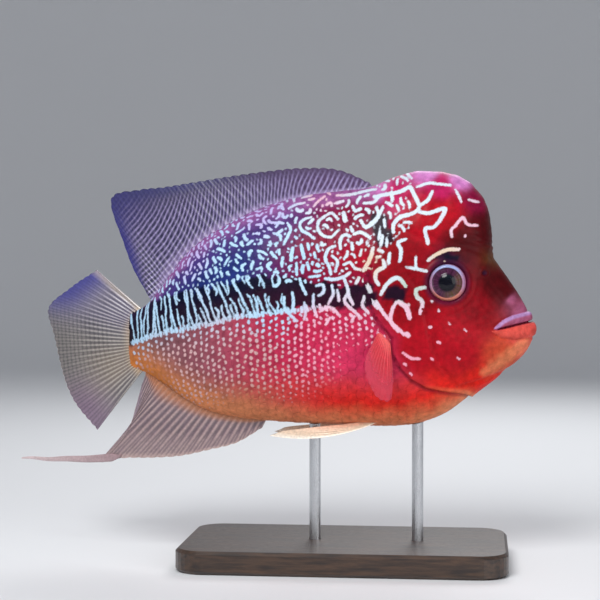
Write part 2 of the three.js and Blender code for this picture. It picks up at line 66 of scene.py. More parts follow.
# The body's sections from the mouth to the root of the tail fin: a and z of a point on the
# middle line, one on the back and one on the belly, half the width, and how square each half is
SECTIONS = [
    (104.6, 127.4, 104.6, 127.4, 104.6, 127.4, 0, 2, 2),
    (103.2, 127.1, 104, 130.8, 106, 125.4, 4.4, 2.2, 2.2),
    (99, 126.3, 102.3, 134.2, 106.2, 121.4, 7.9, 2.2, 2.3),
    (92.8, 124.8, 97.9, 141.8, 104, 114.9, 11, 2.2, 2.3),
    (87.6, 123.7, 92.1, 150.6, 100.1, 109.2, 13.5, 2.2, 2.2),
    (83, 123.2, 87.4, 157.4, 94.9, 104.4, 15.8, 2.2, 2.1),
    (78.3, 123.1, 85, 163.8, 88.9, 99.4, 18, 2.3, 2),
    (73.7, 123.1, 84.3, 174, 82.5, 94.5, 20, 2.5, 1.9),
    (69, 123.6, 81.8, 187.2, 76.3, 90.2, 21.8, 2.6, 1.9),
    (63.8, 124.1, 74, 198.6, 70.1, 85.5, 23.4, 2.6, 1.9),
    (57.5, 125.1, 61.5, 204.3, 61.8, 79.6, 25, 2.5, 2),
    (49.7, 126.7, 48, 205.4, 52.4, 75.3, 26, 2.4, 2),
    (39.3, 128.2, 33.9, 202.4, 39.4, 72.4, 27, 2.2, 2.1),
    (26.2, 129.7, 20.9, 197.3, 26.2, 71.9, 27.6, 2, 2.1),
    (10.4, 131.2, 5.7, 195.6, 10.5, 72.3, 27.8, 1.9, 2.1),
    (-10.7, 132.2, -14.4, 192.9, -10.7, 72.8, 27, 1.9, 2),
    (-31.9, 131.1, -36.2, 186.9, -32, 73.9, 25, 1.9, 1.9),
    (-50.7, 128.4, -54.5, 178.4, -50.8, 75.8, 21.8, 1.9, 1.8),
    (-67.1, 124.5, -69.3, 169.4, -65.5, 78.9, 18, 1.9, 1.8),
    (-81.1, 121.2, -80.9, 158.6, -78.9, 85.4, 14, 2, 1.9),
    (-93.7, 118.3, -92, 144, -90.9, 93.2, 10, 2.1, 2),
    (-102.5, 116.6, -101.6, 134.2, -100.2, 98.2, 6.4, 2.2, 2.1),
    (-110.3, 115.9, -109.6, 131.2, -109.2, 100.8, 2.4, 2.2, 2.2),
]
BACK = [row[2:4] for row in SECTIONS]
BELLY = [row[4:6] for row in SECTIONS]

# Lines on the side view that the skin's relief follows
GILL_EDGE = [
    (23.0, 164.3), (22.5, 143.4), (24.6, 131.8), (29.3, 125.5), (34.2, 119.3), (34.1, 111.9),
    (38.3, 103.6), (43.0, 98.3), (50.8, 93.7), (60.2, 91.7), (71.0, 89.9), (84.0, 82.0),
]
GILL_FRONT = [
    (66.5, 94.6), (58.6, 104.7), (53.4, 117.3), (50.8, 130.3), (46.0, 146.0), (37.0, 158.0),
]
HUMP_LINE = [(90, 160.2), (84.5, 160.6), (73.0, 165.9), (62.6, 167.9), (47.0, 170.6), (34.0, 176.9)]
MOUTH_LINE = [(86.3, 123.4), (92.8, 124.8), (99.0, 126.3), (112.0, 128.8)]
UPPER_LIP_LINE = [(112, 134.6), (102.0, 132.4), (95.2, 130.8), (89.4, 128.0), (85.2, 123.9)]
LOWER_LIP_LINE = [(84.2, 122.6), (89.0, 119.3), (95.2, 118.2), (101.0, 118.8), (112, 120.4)]
MEMBRANE_LINE = [(103, 106.4), (96.0, 103.4), (88.9, 100.6), (78.4, 97.0), (69.0, 94.4)]
NOSTRIL = (80.5, 152.5)
EYE = (61.6, 147.6)
UPPER_LIP = [*UPPER_LIP_LINE, *MOUTH_LINE]
LOWER_LIP = [*LOWER_LIP_LINE, *MOUTH_LINE[::-1]]

# Scales, in columns across the flank and rows along it
FIRST_COLUMN = 62.0
COLUMNS = 40
COLUMN_PITCH = 4.25
ROW_PITCH = 6.2
ROWS_ASIDE = 14
DEPTH_OF_FULL_PITCH = 118.0
LEAST_DEPTH_SHARE = 0.25
PITCH_POWER = 0.6
SCALE_LENGTH = 6.5
SCALE_WIDTH = 1.18
COAT_DEPTH = 0.36
LAST_SCALE = -107.5
CHEEK_PITCH = 3.1
CHEEK_START = 30.0
CHEEK_COLUMNS = 22
CHEEK_ROWS = range(-18, 12)
CHEEK_ROW_SHARE = 1.15
CHEEK_SCALE = 4.65
CHEEK_DEPTH = 0.34
# Limits of the coat and the cheek's scales: angles from back and belly, gaps to the gill
# cover's edge and the eye, and places on the side view
BACK_SEAM = 0.10
BELLY_SEAM = 0.06
COAT_GAP = 1.6
GILL_GAP = 3.2
EYE_GAP = 15.5
CHEEK_TOP = 170.0
CHEEK_FRONT = 74.0
CHEEK_ANGLE = 2.6

QUARTER = math.pi / 2


# From the straight fish's millimetres to the frame's metres
def place(a, s, z):
    turn = np.maximum(0.0, BEND_START - a) / BEND_RADIUS
    x = np.where(turn > 0, BEND_START - BEND_RADIUS * np.sin(turn), a)
    y = np.where(turn > 0, BEND_RADIUS * (1 - np.cos(turn)), 0.0)
    return MM * np.stack([FISH_SHIFT + x + s * np.sin(turn), y + s * np.cos(turn), z + 0 * x], axis=-1)


def smoothstep(low, high, value):
    t = np.clip((value - low) / (high - low), 0.0, 1.0)
    return t * t * (3 - 2 * t)


# A hump of the given half width, 1 in its middle
def bell(value, width):
    return np.exp(-((value / width) ** 2))


# Distances along a row of points, from the first
def run_of(points):
    steps = np.linalg.norm(np.diff(points, axis=0), axis=1)
    return np.concatenate([[0.0], np.cumsum(steps)])


# A smooth curve through rows of numbers, the rows spaced by the knots
class SmoothRows:
    def __init__(self, rows, pairs):
        self.rows = np.array(rows, dtype=float)
        steps = np.diff(self.rows[:, :2 * pairs], axis=0).reshape(len(rows) - 1, pairs, 2)
        lengths = np.hypot(steps[..., 0], steps[..., 1]).mean(axis=1)
        self.knots = np.concatenate([[0.0], np.cumsum(lengths)])
        self.end = self.knots[-1]
        gap = np.diff(self.knots)[:, None]
        lean = np.diff(self.rows, axis=0) / gap
        inner = (lean[:-1] * gap[1:] + lean[1:] * gap[:-1]) / (gap[:-1] + gap[1:])
        self.slopes = np.concatenate([lean[:1], inner, lean[-1:]])

    def at(self, knot):
        knot = np.clip(np.asarray(knot, dtype=float), 0.0, self.end)
        i = np.clip(np.searchsorted(self.knots, knot) - 1, 0, len(self.rows) - 2)
        span = (self.knots[i + 1] - self.knots[i])[..., None]
        t = (knot - self.knots[i])[..., None] / span
        keep = (1 + 2 * t) * (1 - t) ** 2
        bend = t * (1 - t) ** 2 * span * self.slopes[i]
        bend_end = t * t * (t - 1) * span * self.slopes[i + 1]
        return keep * self.rows[i] + (1 - keep) * self.rows[i + 1] + bend + bend_end


BODY = SmoothRows(SECTIONS, 3)


# A point of the straight body, at a knot and an angle from the back (0) to the belly (pi)
def body(knot, angle):
    ma, mz, ta, tz, la, lz, width, full_top, full_low = np.moveaxis(BODY.at(knot), -1, 0)
    upper = np.cos(angle) >= 0
    full = np.where(upper, full_top, full_low)
    out = np.abs(np.cos(angle)) ** (2 / full)
    half = np.maximum(0.05, width) * np.abs(np.sin(angle)) ** (2 / full)
    s = np.where(np.sin(angle) >= 0, -half, half)
    return ma + (np.where(upper, ta, la) - ma) * out, s, mz + (np.where(upper, tz, lz) - mz) * out


# Tables that turn a knot and an angle into distances along and round the body, and back
KNOT_STEP = 0.5
ANGLE_STEP = math.radians(0.5)
FIRST_ANGLE = -math.radians(80)
LAST_ANGLE = math.radians(260)
ROUND_STEP = 0.5
ROUND_REACH = 170.0
KNOTS = np.arange(0.0, BODY.end + KNOT_STEP, KNOT_STEP)
ANGLES = FIRST_ANGLE + ANGLE_STEP * np.arange(round((LAST_ANGLE - FIRST_ANGLE) / ANGLE_STEP) + 1)
ROUNDS = np.arange(-ROUND_REACH, ROUND_REACH + ROUND_STEP, ROUND_STEP)


def chart_tables():
    grid = np.stack(body(KNOTS[:, None], ANGLES[None, :]), axis=-1)
    arc = np.array([run_of(ring) for ring in grid])
    rounds = np.array([np.interp(QUARTER, ANGLES, row) for row in arc])[:, None] - arc
    back = np.array([np.interp(ROUNDS, row[::-1], ANGLES[::-1]) for row in rounds])
    rows = BODY.at(KNOTS)
    depth = np.linalg.norm(rows[:, 2:4] - rows[:, 4:6], axis=1)
    pitch = ROW_PITCH * np.maximum(LEAST_DEPTH_SHARE, depth / DEPTH_OF_FULL_PITCH) ** PITCH_POWER
    return rounds, back, run_of(rows[:, :2]), pitch


ROUND_TABLE, ANGLE_TABLE, ALONG_TABLE, PITCH_TABLE = chart_tables()


# The value of a table between its rows and columns
def lookup(table, row, column):
    row = np.clip(row, 0, table.shape[0] - 1.001)
    column = np.clip(column, 0, table.shape[1] - 1.001)
    i = row.astype(int)
    j = column.astype(int)
    u = row - i
    v = column - j
    upper = table[i, j] * (1 - v) + table[i, j + 1] * v
    lower = table[i + 1, j] * (1 - v) + table[i + 1, j + 1] * v
    return upper * (1 - u) + lower * u


# Millimetres along the middle line, and up round the flank from it, of a knot and an angle
def chart_of(knot, angle):
    up = lookup(ROUND_TABLE, knot / KNOT_STEP, (angle - FIRST_ANGLE) / ANGLE_STEP)
    return np.interp(knot, KNOTS, ALONG_TABLE), up


def spot_of(along, up):
    knot = np.interp(along, ALONG_TABLE, KNOTS)
    return knot, lookup(ANGLE_TABLE, knot / KNOT_STEP, (up + ROUND_REACH) / ROUND_STEP)


def pitch_at(along):
    return np.interp(along, ALONG_TABLE, PITCH_TABLE)


# Side view place and angle of a spot of the flattened flank
def side_view(along, up):
    knot, angle = spot_of(np.array([along]), np.array([up]))
    a, _, z = body(knot, angle)
    return float(a[0]), float(z[0]), float(angle[0])


# Distance of points on the side view to a line, more than 0 on the line's left
def line_distance(a, z, line):
    best = np.full(np.shape(a), 1e9)
    side = np.ones(np.shape(a))
    for (a0, z0), (a1, z1) in zip(line[:-1], line[1:]):
        da, dz = a1 - a0, z1 - z0
        t = np.clip(((a - a0) * da + (z - z0) * dz) / (da * da + dz * dz), 0, 1)
        away = np.hypot(a - a0 - t * da, z - z0 - t * dz)
        turn = da * (z - z0) - dz * (a - a0)
        closer = away < best
        side = np.where(closer, np.where(turn >= 0, 1.0, -1.0), side)
        best = np.where(closer, away, best)
    return best * side


def off_line(a, z, line):
    return np.abs(line_distance(a, z, line))


def off_spot(a, z, spot):
    return np.hypot(a - spot[0], z - spot[1])


# Height of a line at a place along the fish
def height_at(line, a):
    ordered = sorted(line)
    return np.interp(a, [spot[0] for spot in ordered], [spot[1] for spot in ordered])


# Whether points on the side view lie within an outline
def within(a, z, outline):
    inside = np.zeros(np.shape(a), dtype=bool)
    for (a0, z0), (a1, z1) in zip(outline, [*outline[1:], outline[0]]):
        if z0 != z1:
            crosses = (z0 > z) != (z1 > z)
            inside ^= crosses & (a < (a1 - a0) * (z - z0) / (z1 - z0) + a0)
    return inside


# Smooth waves that stand for chance unevenness, about -1 to 1
def unevenness(a, z, size, shift=0.0):
    u = a / size
    v = z / size
    waves = np.sin(1.7 * u + 0.6 * v + shift) + np.sin(-0.9 * u + 1.9 * v + 2.1 * shift)
    return (waves + np.sin(2.9 * u - 2.3 * v + 0.7 * shift) * 0.6) / 2.6


GILL_STEP = 0.95
GILL_HOLLOW = 0.9


# How far the skin stands off the plain body, by its place on the side view: gill cover,
# hump and folds, eye socket, nostril, mouth, gill membrane, cheek and pores
def relief(a, z):
    edge = line_distance(a, z, GILL_EDGE)
    plate = GILL_STEP * np.exp(-np.maximum(edge, 0) / 10) * smoothstep(-0.5, 0.3, edge)
    hollow = GILL_HOLLOW * np.exp(np.minimum(edge, 0) / 3) * smoothstep(0.4, -0.4, edge)
    lift = smoothstep(166, 150, z) * (plate - hollow)
    lift -= 0.5 * bell(line_distance(a, z, GILL_FRONT), 1.3)

    hump = line_distance(a, z, HUMP_LINE)
    on_hump = smoothstep(1, 12, -hump) * smoothstep(30, 45, a)
    lift += on_hump * (0.35 * unevenness(a, z, 5.0) + 0.12 * unevenness(a, z, 1.7, 3.0))
    lift += 0.3 * bell(hump + 4.5, 3.2) * smoothstep(68, 76, a) * np.sin(2.1 * hump + 0.35 * a)
    lift -= 0.7 * bell(hump, 2.2)

    from_eye = off_spot(a, z, EYE)
    lift += 0.75 * bell(from_eye - 11.0, 1.3) - 3.2 * smoothstep(9.9, 8.9, from_eye)
    lift += 0.28 * bell(from_eye - 14.2, 1.0) * smoothstep(152, 142, z)
    from_nostril = off_spot(a, z, NOSTRIL)
    lift += 0.35 * bell(from_nostril - 1.9, 0.7) - 1.3 * bell(from_nostril, 1.0)

    lift += mouth_relief(a, z)
    lift -= 0.8 * bell(line_distance(a, z, MEMBRANE_LINE), 1.1) * smoothstep(106, 100, a)
    lift += 0.7 * bell(np.hypot((a - 63) / 12, (z - 117) / 14), 1.0)
    pores = np.sin(1.15 * a) * np.sin(1.3 * z + 0.4 * a)
    return lift + 0.05 * pores * smoothstep(34, 44, a) * smoothstep(170, 160, z)


# Two full lips with fine wrinkles, a furrow outside each and the closed mouth's slit
def mouth_relief(a, z):
    mouth = off_line(a, z, MOUTH_LINE)
    lift = 0.1 * np.sin(2.4 * a) * (within(a, z, UPPER_LIP) | within(a, z, LOWER_LIP))
    full = 0.0
    for line, outline, furrow in ((UPPER_LIP_LINE, UPPER_LIP, 0.55), (LOWER_LIP_LINE, LOWER_LIP, 0.5)):
        away = off_line(a, z, line)
        share = mouth / np.maximum(mouth + away, 1e-6)
        full += 1.25 * within(a, z, outline) * (4 * share * (1 - share)) ** 0.55
        full -= furrow * bell(away, 0.8)
    slit = bell(mouth, 0.45) * smoothstep(85.5, 89.5, a)
    return lift + full * smoothstep(84, 87, a) - 1.9 * slit


# Where the coat of scales begins, as a distance on the side view
def behind_gills(a, z):
    return -line_distance(a, z, [(21.0, 215.0), *GILL_EDGE])


# Steps that find the surface's outward direction
NEARBY = ((0, 0), (0.2, 0), (-0.2, 0), (0, 0.01), (0, -0.01))


# The straight surface with its relief and a further lift along its outward direction
def surface(knot, angle, lift):
    spot, ahead, behind, lower, upper = (
        np.stack(body(knot + step, angle + turn), axis=-1) for step, turn in NEARBY
    )
    outward = np.cross(ahead - behind, lower - upper)
    outward /= np.maximum(np.linalg.norm(outward, axis=-1, keepdims=True), 1e-9)
    return spot + outward * (relief(spot[..., 0], spot[..., 2]) + lift)[..., None]


# Palette, as the screen's red, green and blue from 0 to 255
PALETTE = {
    "crimson": (162, 8, 26), "deep_crimson": (130, 4, 18), "maroon": (70, 5, 10),
    "wine": (122, 10, 52), "scarlet": (214, 30, 20), "rose": (176, 34, 70), "hot_rose": (214, 54, 96),
    # The last colour on the next line is a painted highlight for the top of the hump and the nape
    "magenta": (172, 24, 84), "salmon": (208, 70, 62), "lilac": (196, 120, 184),
    "pale_lilac": (168, 150, 208), "violet": (70, 50, 114), "blue": (28, 42, 104),
    "orchid": (150, 92, 150), "mauve": (150, 70, 88), "brown_mauve": (116, 78, 84),
    "tan": (182, 112, 76), "peach": (224, 142, 98), "orange": (192, 114, 50), "olive": (92, 50, 22),
    "navy": (3, 6, 28), "lip_pink": (160, 84, 116), "coral": (204, 76, 66), "rust": (190, 70, 44),
    "cream": (214, 190, 166), "ice": (172, 208, 234), "white": (200, 214, 226),
    "pink_white": (222, 178, 196), "blush": (232, 158, 178), "sand": (204, 164, 164),
    "grey_green": (178, 194, 182), "plum": (56, 14, 46), "pale_violet": (184, 172, 220),
}

# Tones of the head by place: palette name, place on the side view and reach
HEAD_TONES = [
    # The pale purple tones on the very top of the hump and the nape are a painted highlight
    ("lilac", 50, 204, 4), ("lilac", 68, 200, 4), ("magenta", 58, 196, 5), ("wine", 78, 190, 7),
    # The maroon tones at the front of the hump and the snout are partly the skin's own colour and partly
    # painted shade
    ("crimson", 60, 183, 9), ("maroon", 82, 176, 9), ("maroon", 68, 168, 8), ("crimson", 50, 178, 9),
    # The plum tone just over the eye is painted shade
    ("maroon", 88, 146, 9), ("olive", 85, 161, 4), ("lip_pink", 94, 139, 2.6), ("plum", 62, 160, 5),
    ("deep_crimson", 76, 136, 9), ("crimson", 66, 118, 12), ("crimson", 47, 112, 9),
    ("deep_crimson", 46, 140, 9), ("deep_crimson", 38, 162, 10), ("magenta", 34, 190, 5),
    ("lilac", 22, 196, 5), ("wine", 22, 180, 7), ("scarlet", 58, 88, 9), ("scarlet", 34, 88, 8),
    ("coral", 46, 77, 10), ("coral", 30, 74, 7), ("rust", 90, 110, 7), ("coral", 101, 114, 5),
    ("scarlet", 80, 97, 6), ("lip_pink", 99, 131, 4), ("coral", 98, 120, 4),
]
# Tones of the pale marks by place
LIGHT = [
    ("white", 50, 190, 16), ("pink_white", 70, 178, 9), ("cream", 60, 162, 6), ("white", 36, 160, 12),
    ("grey_green", 42, 146, 6), ("pink_white", 40, 128, 8), ("blush", 48, 110, 8),
    ("white", 8, 172, 16), ("cream", 24, 158, 7), ("ice", -14, 160, 14), ("ice", -50, 156, 14),
    ("pale_violet", -70, 162, 10), ("pale_violet", -36, 184, 9), ("pink_white", -2, 192, 7),
    ("ice", -30, 136, 12), ("ice", -80, 128, 12), ("blush", -2, 114, 12), ("pink_white", 4, 127, 7),
    ("sand", -38, 106, 13), ("sand", -76, 108, 12), ("tan", -40, 84, 9), ("salmon", 6, 88, 9),
    ("tan", -90, 99, 7), ("ice", -102, 124, 8),
]
JAW_STREAK = [(82.0, 101.5), (91.0, 108.0), (100.5, 115.5)]
BLEND_FLOOR = 0.3
BLEND_POWER = 2.2


# Light of a colour of the screen
def screen(rgb):
    share = np.array(rgb) / 255.0
    return np.where(share <= 0.04045, share / 12.92, ((share + 0.055) / 1.055) ** 2.4)


# Light of a paint: a palette name, a colour of the screen, or an array that is light already
def tone(paint):
    if isinstance(paint, np.ndarray):
        return paint
    return screen(PALETTE.get(paint, paint))


# Paints laid over each other, each with its share by place
def painted(base, *layers):
    colour = tone(base)
    for paint, share in layers:
        colour = colour + (tone(paint) - colour) * share[..., None]
    return colour


# Tones mixed by how near each is
def blend_tones(a, z, tones):
    total = np.zeros((*np.shape(a), 3))
    weight = np.zeros(np.shape(a))
    for name, at_a, at_z, reach in tones:
        near = (BLEND_FLOOR + ((a - at_a) ** 2 + (z - at_z) ** 2) / reach ** 2) ** -BLEND_POWER
        total += near[..., None] * tone(name)
        weight += near
    return total / weight[..., None]


# The dark band along the flank and its blotches, from the tail to behind the eye, and half
# their height
BAND = [(-114, 121.8), (-100, 126), (-84, 130.8), (-57, 136.2), (-33, 141.4), (-14, 141.8), (4, 141)]
BAND_HALF = 9.6
BAND_FRONT_HALF = 6.6
BLOTCHES = [
    ([(6, 140), (20, 141)], 6.0), ([(33, 142), (38, 141.5)], 4.0), ([(26, 180), (30, 170)], 4.4),
    # This last blotch, just over the eye, is painted shade
    ([(56, 160.5), (66, 160.5)], 1.6),
]


def band_half(a):
    return BAND_HALF + (BAND_FRONT_HALF - BAND_HALF) * smoothstep(-30, 0, a)


# Darkness of the band and its blotches; the blotch over the eye is painted shade
def darkness(a, z):
    wobble = 1.5 * unevenness(a, z, 3.0) + 0.8 * unevenness(a, z, 1.4, 5.0)
    dark = smoothstep(1.2, -1.6, off_line(a, z, BAND) - band_half(a) + wobble)
    for line, half in BLOTCHES:
        dark = np.maximum(dark, smoothstep(1.6, -1.4, off_line(a, z, line) - half + wobble))
    return dark


# The trunk's ground: brown-mauve to rose below the band, blue to wine above it
def trunk_ground(a, z):
    low = z - height_at(BELLY, a)
    high = height_at(BACK, a) - z
    lower = painted(
        "mauve",
        ("brown_mauve", smoothstep(-40, -95, a)),
        ("rose", smoothstep(-66, -12, a)),
        ("hot_rose", 0.7 * bell(a - 10, 20) * bell(z - 106, 14)),
        ("salmon", 0.7 * smoothstep(36, 14, low) * smoothstep(-66, -10, a)),
        ("scarlet", 0.9 * smoothstep(30, 12, low) * smoothstep(-34, 12, a)),
        ("tan", 0.85 * smoothstep(26, 6, low) * smoothstep(-6, -50, a)),
        ("orange", 0.9 * smoothstep(15, 2, low) * smoothstep(-40, -80, a)),
        ("peach", 0.85 * smoothstep(15, 1, low) * smoothstep(-96, -60, a)),
    )
    upper = painted(
        "blue",
        ("wine", smoothstep(-46, -2, a)),
        ("crimson", 0.8 * bell(a - 18, 16) * bell(z - 160, 9)),
        ("violet", 0.8 * smoothstep(26, 12, high) * smoothstep(8, -26, a)),
        ("orchid", 0.8 * smoothstep(12, 3, high)),
    )
    return painted(lower, (upper, smoothstep(-4, 8, z - height_at(BAND, a))))


# The ground colour of skin and scales, with painted shade and painted highlights on the head
def ground_colour(a, z):
    uneven = 1.2 * unevenness(a, z, 4.0, 1.0)
    streak = off_line(a, z, JAW_STREAK) + 0.9 * unevenness(a, z, 1.6, 2.0)
    edge = line_distance(a, z, GILL_EDGE)
    lip = within(a, z, UPPER_LIP)
    # Distance from the line of the painted highlight along the top of the upper lip
    from_lip_highlight = np.abs(line_distance(a, z, UPPER_LIP_LINE) - 0.9)
    return painted(
        blend_tones(a + uneven, z - uneven, HEAD_TONES),
        (trunk_ground(a + uneven, z - uneven), smoothstep(-7, 5, behind_gills(a, z))),
        ("peach", 0.55 * smoothstep(5.4, 0.8, streak)),
        # Navy over the band and its blotches, and as painted shade over the eye
        ("navy", 0.95 * darkness(a, z)),
        # A plum line in the hollow just behind the gill cover's edge: painted shade in the slit
        ("plum", 0.4 * smoothstep(1.5, 0.2, np.abs(edge + 0.8)) * smoothstep(164, 150, z)),
        ("lip_pink", 0.75 * lip),
        # A pale band along the top of the upper lip: a painted highlight
        ("pale_lilac", 0.55 * lip * smoothstep(1.6, 0.4, from_lip_highlight)),
        ("coral", 0.8 * within(a, z, LOWER_LIP)),
        ("wine", 0.9 * smoothstep(1.0, 0.2, off_line(a, z, MOUTH_LINE)) * smoothstep(85, 88, a)),
        ("peach", 0.35 * smoothstep(1.7, 0.5, np.abs(edge - 1.2)) * smoothstep(96, 91, z)),
        # Plum in the nostril's pit: painted shade in the hole
        ("plum", 0.9 * smoothstep(1.6, 0.7, off_spot(a, z, NOSTRIL))),
        ("plum", 0.75 * smoothstep(13.0, 10.0, off_spot(a, z, EYE))),
        ("scarlet", 0.6 * smoothstep(1.8, 0.4, off_line(a, z, MEMBRANE_LINE)) * smoothstep(106, 100, a)),
    )


# Pale strokes of the head, and of the shoulder with the front of the band. Each is half its
# width and then its points on the side view
HEAD_STROKES = [
    (1.1, 23.8, 192.1, 32, 193.1, 39.2, 195.1, 41.8, 196.6, 44.9, 191.5, 47.5, 186.8),
    (1, 54, 194.1, 52, 190.5, 47.4, 186.9),
    (1.2, 47.7, 186.7, 46.1, 184.1, 42.6, 182.6, 37, 180.6, 34.4, 177, 34.4, 173.4),
    (1.15, 47.7, 183.6, 52.2, 183.1, 56.8, 184.6, 60.4, 185.6, 57.8, 179.5, 54.3, 175.4),
    (1.15, 54.3, 175.4, 51.2, 175.4, 51.8, 167.8),
    (0.9, 45.8, 196.8, 51.9, 198.8, 56.6, 198.3, 63.2, 197.7),
    (0.8, 65.3, 195, 67.4, 190.9, 68.4, 188.8), (0.8, 72.5, 189.9, 77.1, 188.9),
    (0.9, 63.9, 170.8, 63.4, 173.9, 66.5, 177.4, 69.5, 181, 71.5, 177.5, 77.1, 177),
    (0.8, 70.5, 171.8, 70.8, 171.2), (1.1, 51.8, 159.1, 57.9, 162.7, 61.5, 164.2, 67.5, 164.7),
    (0.8, 45.8, 160.7, 45.8, 155.6), (0.9, 41.2, 155.6, 51.4, 153.5),
    (1.1, 40.7, 169.8, 36.6, 167.8, 38.1, 164.7, 37.6, 158.1),
    (1.1, 29.1, 159.1, 29.6, 156.1, 26, 153, 25.5, 149, 27.1, 146.9),
    (1.1, 24, 165.2, 22.5, 159.6, 18.9, 154), (1.1, 28.1, 141.8, 31.7, 147.4, 36.8, 150, 40.8, 145.9),
    (1.1, 35.8, 137.8, 33.3, 132.2, 33.3, 127.7, 36.9, 123.1),
    (0.9, 25.7, 138.3, 30.2, 131.2, 39.9, 121.1), (1.5, 37.4, 138.2, 41, 134.5, 42.9, 129.6),
    (1.1, 50.5, 145.5, 45.9, 143.9, 46.4, 140.4, 49, 138.3, 48, 132.3),
    (0.9, 39.4, 111.9, 43.4, 109.4, 48, 108.9), (1, 54, 138.4, 54.4, 137.8),
    (0.9, 57.1, 133.8, 57.3, 133), (0.8, 42.4, 136.8, 42.6, 136.4), (1.7, 41.2, 121.6, 42, 120.6),
    (1.1, 52.5, 125.2, 53.5, 124.6), (1, 57.1, 117.6, 58, 117), (0.9, 53.6, 108.9, 54.6, 108.5),
    (0.8, 42.9, 101.2, 43.8, 100.8), (0.8, 67.2, 109, 68, 109), (0.9, 39.9, 106.3, 40.7, 105.9),
    (0.7, 60.1, 158.4, 60.4, 158.4), (0.7, 62, 127, 63, 126.4), (0.6, 70, 124, 71.4, 123),
    (0.9, 30, 189, 33, 187), (1, 25, 186, 26.5, 181.5, 23, 178), (0.9, 28.6, 172, 28, 166.5),
    (0.9, 32.5, 163, 32, 157.5),
]
SHOULDER_STROKES = [
    (0.8, 3.8, 192.6, 12.1, 193.3, 18.8, 194.8, 24.4, 195.6),
    (0.9, 12.9, 186.9, 14.1, 184.6, 17, 185.6), (0.8, 18.8, 188.4, 23.4, 188.9, 27, 192),
    (1.2, 8.2, 183.3, 9.1, 179.3), (0.8, 3.3, 188.5, 7.4, 189.5), (0.9, 32.7, 194, 33.2, 189.9),
    (1, 17.5, 179, 19.8, 175.9, 23.9, 177.7, 26.2, 181.8, 28.6, 186.1), (0.8, 29.5, 180, 30, 175.9),
    (0.9, 12.2, 176, 13.2, 174.2), (0.9, 7.1, 165, 7.3, 170.1, 9.4, 171.9, 12.2, 171.4),
    (0.9, 14, 172.4, 17.5, 173.4, 20.3, 171.9, 22.6, 170.1), (0.9, 12.9, 167.8, 13.5, 164.5),
    (0.8, 27.2, 174.1, 26.7, 169.6), (0.8, 30.8, 170.1, 31.1, 166.3), (0.7, 18.1, 164.5, 17.5, 161.4),
    (0.9, 4.8, 166.3, 1.2, 165, -0.6, 160.4, 1.2, 155.8, 2.5, 152.2),
    (0.8, 3, 161.4, 5.8, 158.6, 4.8, 153.5), (0.8, 8.9, 156.8, 12.2, 157.6, 15.3, 154.5, 17.6, 154),
    (0.9, 12.2, 153, 8.9, 150.4, 4.8, 149.4, 0.1, 149.9),
    (0.9, 9.4, 149.4, 11.2, 145.3, 12.2, 140.2, 14, 136.7), (0.9, 15.3, 147.1, 16.8, 149.9),
    (1.2, 21.4, 146.4, 22.7, 143.1),
    (0.8, 5.5, 180.6, 1.7, 183.3, -1.1, 181.6, -4.7, 179, -4.7, 175, -2.2, 171.9, 1.9, 170.9, 6, 174.4),
    (0.8, -8.6, 181.1, -12.2, 180.1, -14.5, 177.8, -13.2, 174.2, -9.9, 172.4, -6.3, 170.1),
    (0.9, -9.9, 178, -7.6, 180.1), (1, -13.2, 166.8, -11.7, 160.4), (1, -17.3, 165, -18.4, 159.1),
    (0.8, -15.5, 157.6, -15, 151.7), (0.8, -9.9, 157.6, -8.8, 154.3), (0.8, -6.3, 162.7, -5.8, 160.4),
    (1.2, -4.5, 156.6, -4, 156.1), (0.7, -8.6, 150.4, -2.9, 151.2),
    (0.8, -13.2, 149.4, -12.2, 145.3, -9.9, 141.7),
    (0.8, -5.2, 146.3, -1.6, 146.3, -1.1, 142.5, -3.4, 140.7), (0.8, 3, 146.3, 3.5, 141.7, 1.2, 137.1),
    (0.9, -16.3, 170.9, -15.8, 170.4), (0.8, -20.9, 178.3, -19.1, 175.5, -20.4, 171.4, -22.2, 167.3),
    (0.7, -21.1, 186.2, -17.2, 187.8, -12.8, 188.5), (0.7, -7.6, 187, -5, 190, -2.4, 192.1),
    (0.7, -9.6, 193.1, -14.3, 191.6), (0.8, -21.7, 140.1, -21.2, 135, -18.6, 131.4, -14.8, 128.1),
    (0.8, -17.1, 142.7, -16.6, 136.8, -17.6, 132.7), (0.8, -11.2, 137.4, -10.1, 132.2, -11.2, 128.6),
    (0.8, -6.5, 141.5, -6, 135.1, -4.7, 130.5), (0.8, -2.9, 132.8, 1.7, 135.6, 5, 133.3, 7.3, 130.5),
    (0.9, 10.9, 142, 9.6, 138.7, 12.2, 135.1, 15, 132.8, 18.3, 130),
    (0.8, 19.4, 140.8, 18.9, 135.7, 21.9, 132.6), (0.8, 6, 143.8, 7.1, 138.7),
    (0.7, 14.8, 130.5, 13.2, 127.5), (0.7, 2, 129.5, -0.1, 126.4), (0.9, 23.4, 138.7, 26.5, 134.7),
]
# Where the marks of the shoulder begin and end, the places they fill, and the gaps between marks
SHOULDER_REAR = -25.0
SHOULDER_FRONT = 20.0
CHEEK_LEVEL = 150.0
FILL_FRONT = 43.0
FILL_STEP = 1.35
FILL_GAP = 0.62
DOT_GAP = 0.5
BAND_GAP = 1.5
# Steps of the flank's marks from column to column
MARK_PITCH = 3.3
MARK_COLUMNS = 50
DASH_PITCH = 2.5
PEARL_PITCH = 3.1
PEARL_ROWS = 24
LEAST_PEARL = 0.2
MISSING_PEARLS = 0.04
FRINGE_FRONT = 6.0
JITTER = 0.4
# Corners of the fields of marks, and how far the marks go in them
FLANK_LOW = (50.0, -110.0)
FLANK_HIGH = (235.0, 110.0)
MARKS_END = -107.0
WORMS_END = 228.0
WORMS_TOP = 92.0
HEAD_LOW = (-36.0, 60.0)
HEAD_HIGH = (112.0, 215.0)
FILL_LOW = 128.0
FILL_TOP = 206.0
FIELD_STEP = 0.25
STROKE_STEP = 0.9
NO_MARK = 6.0


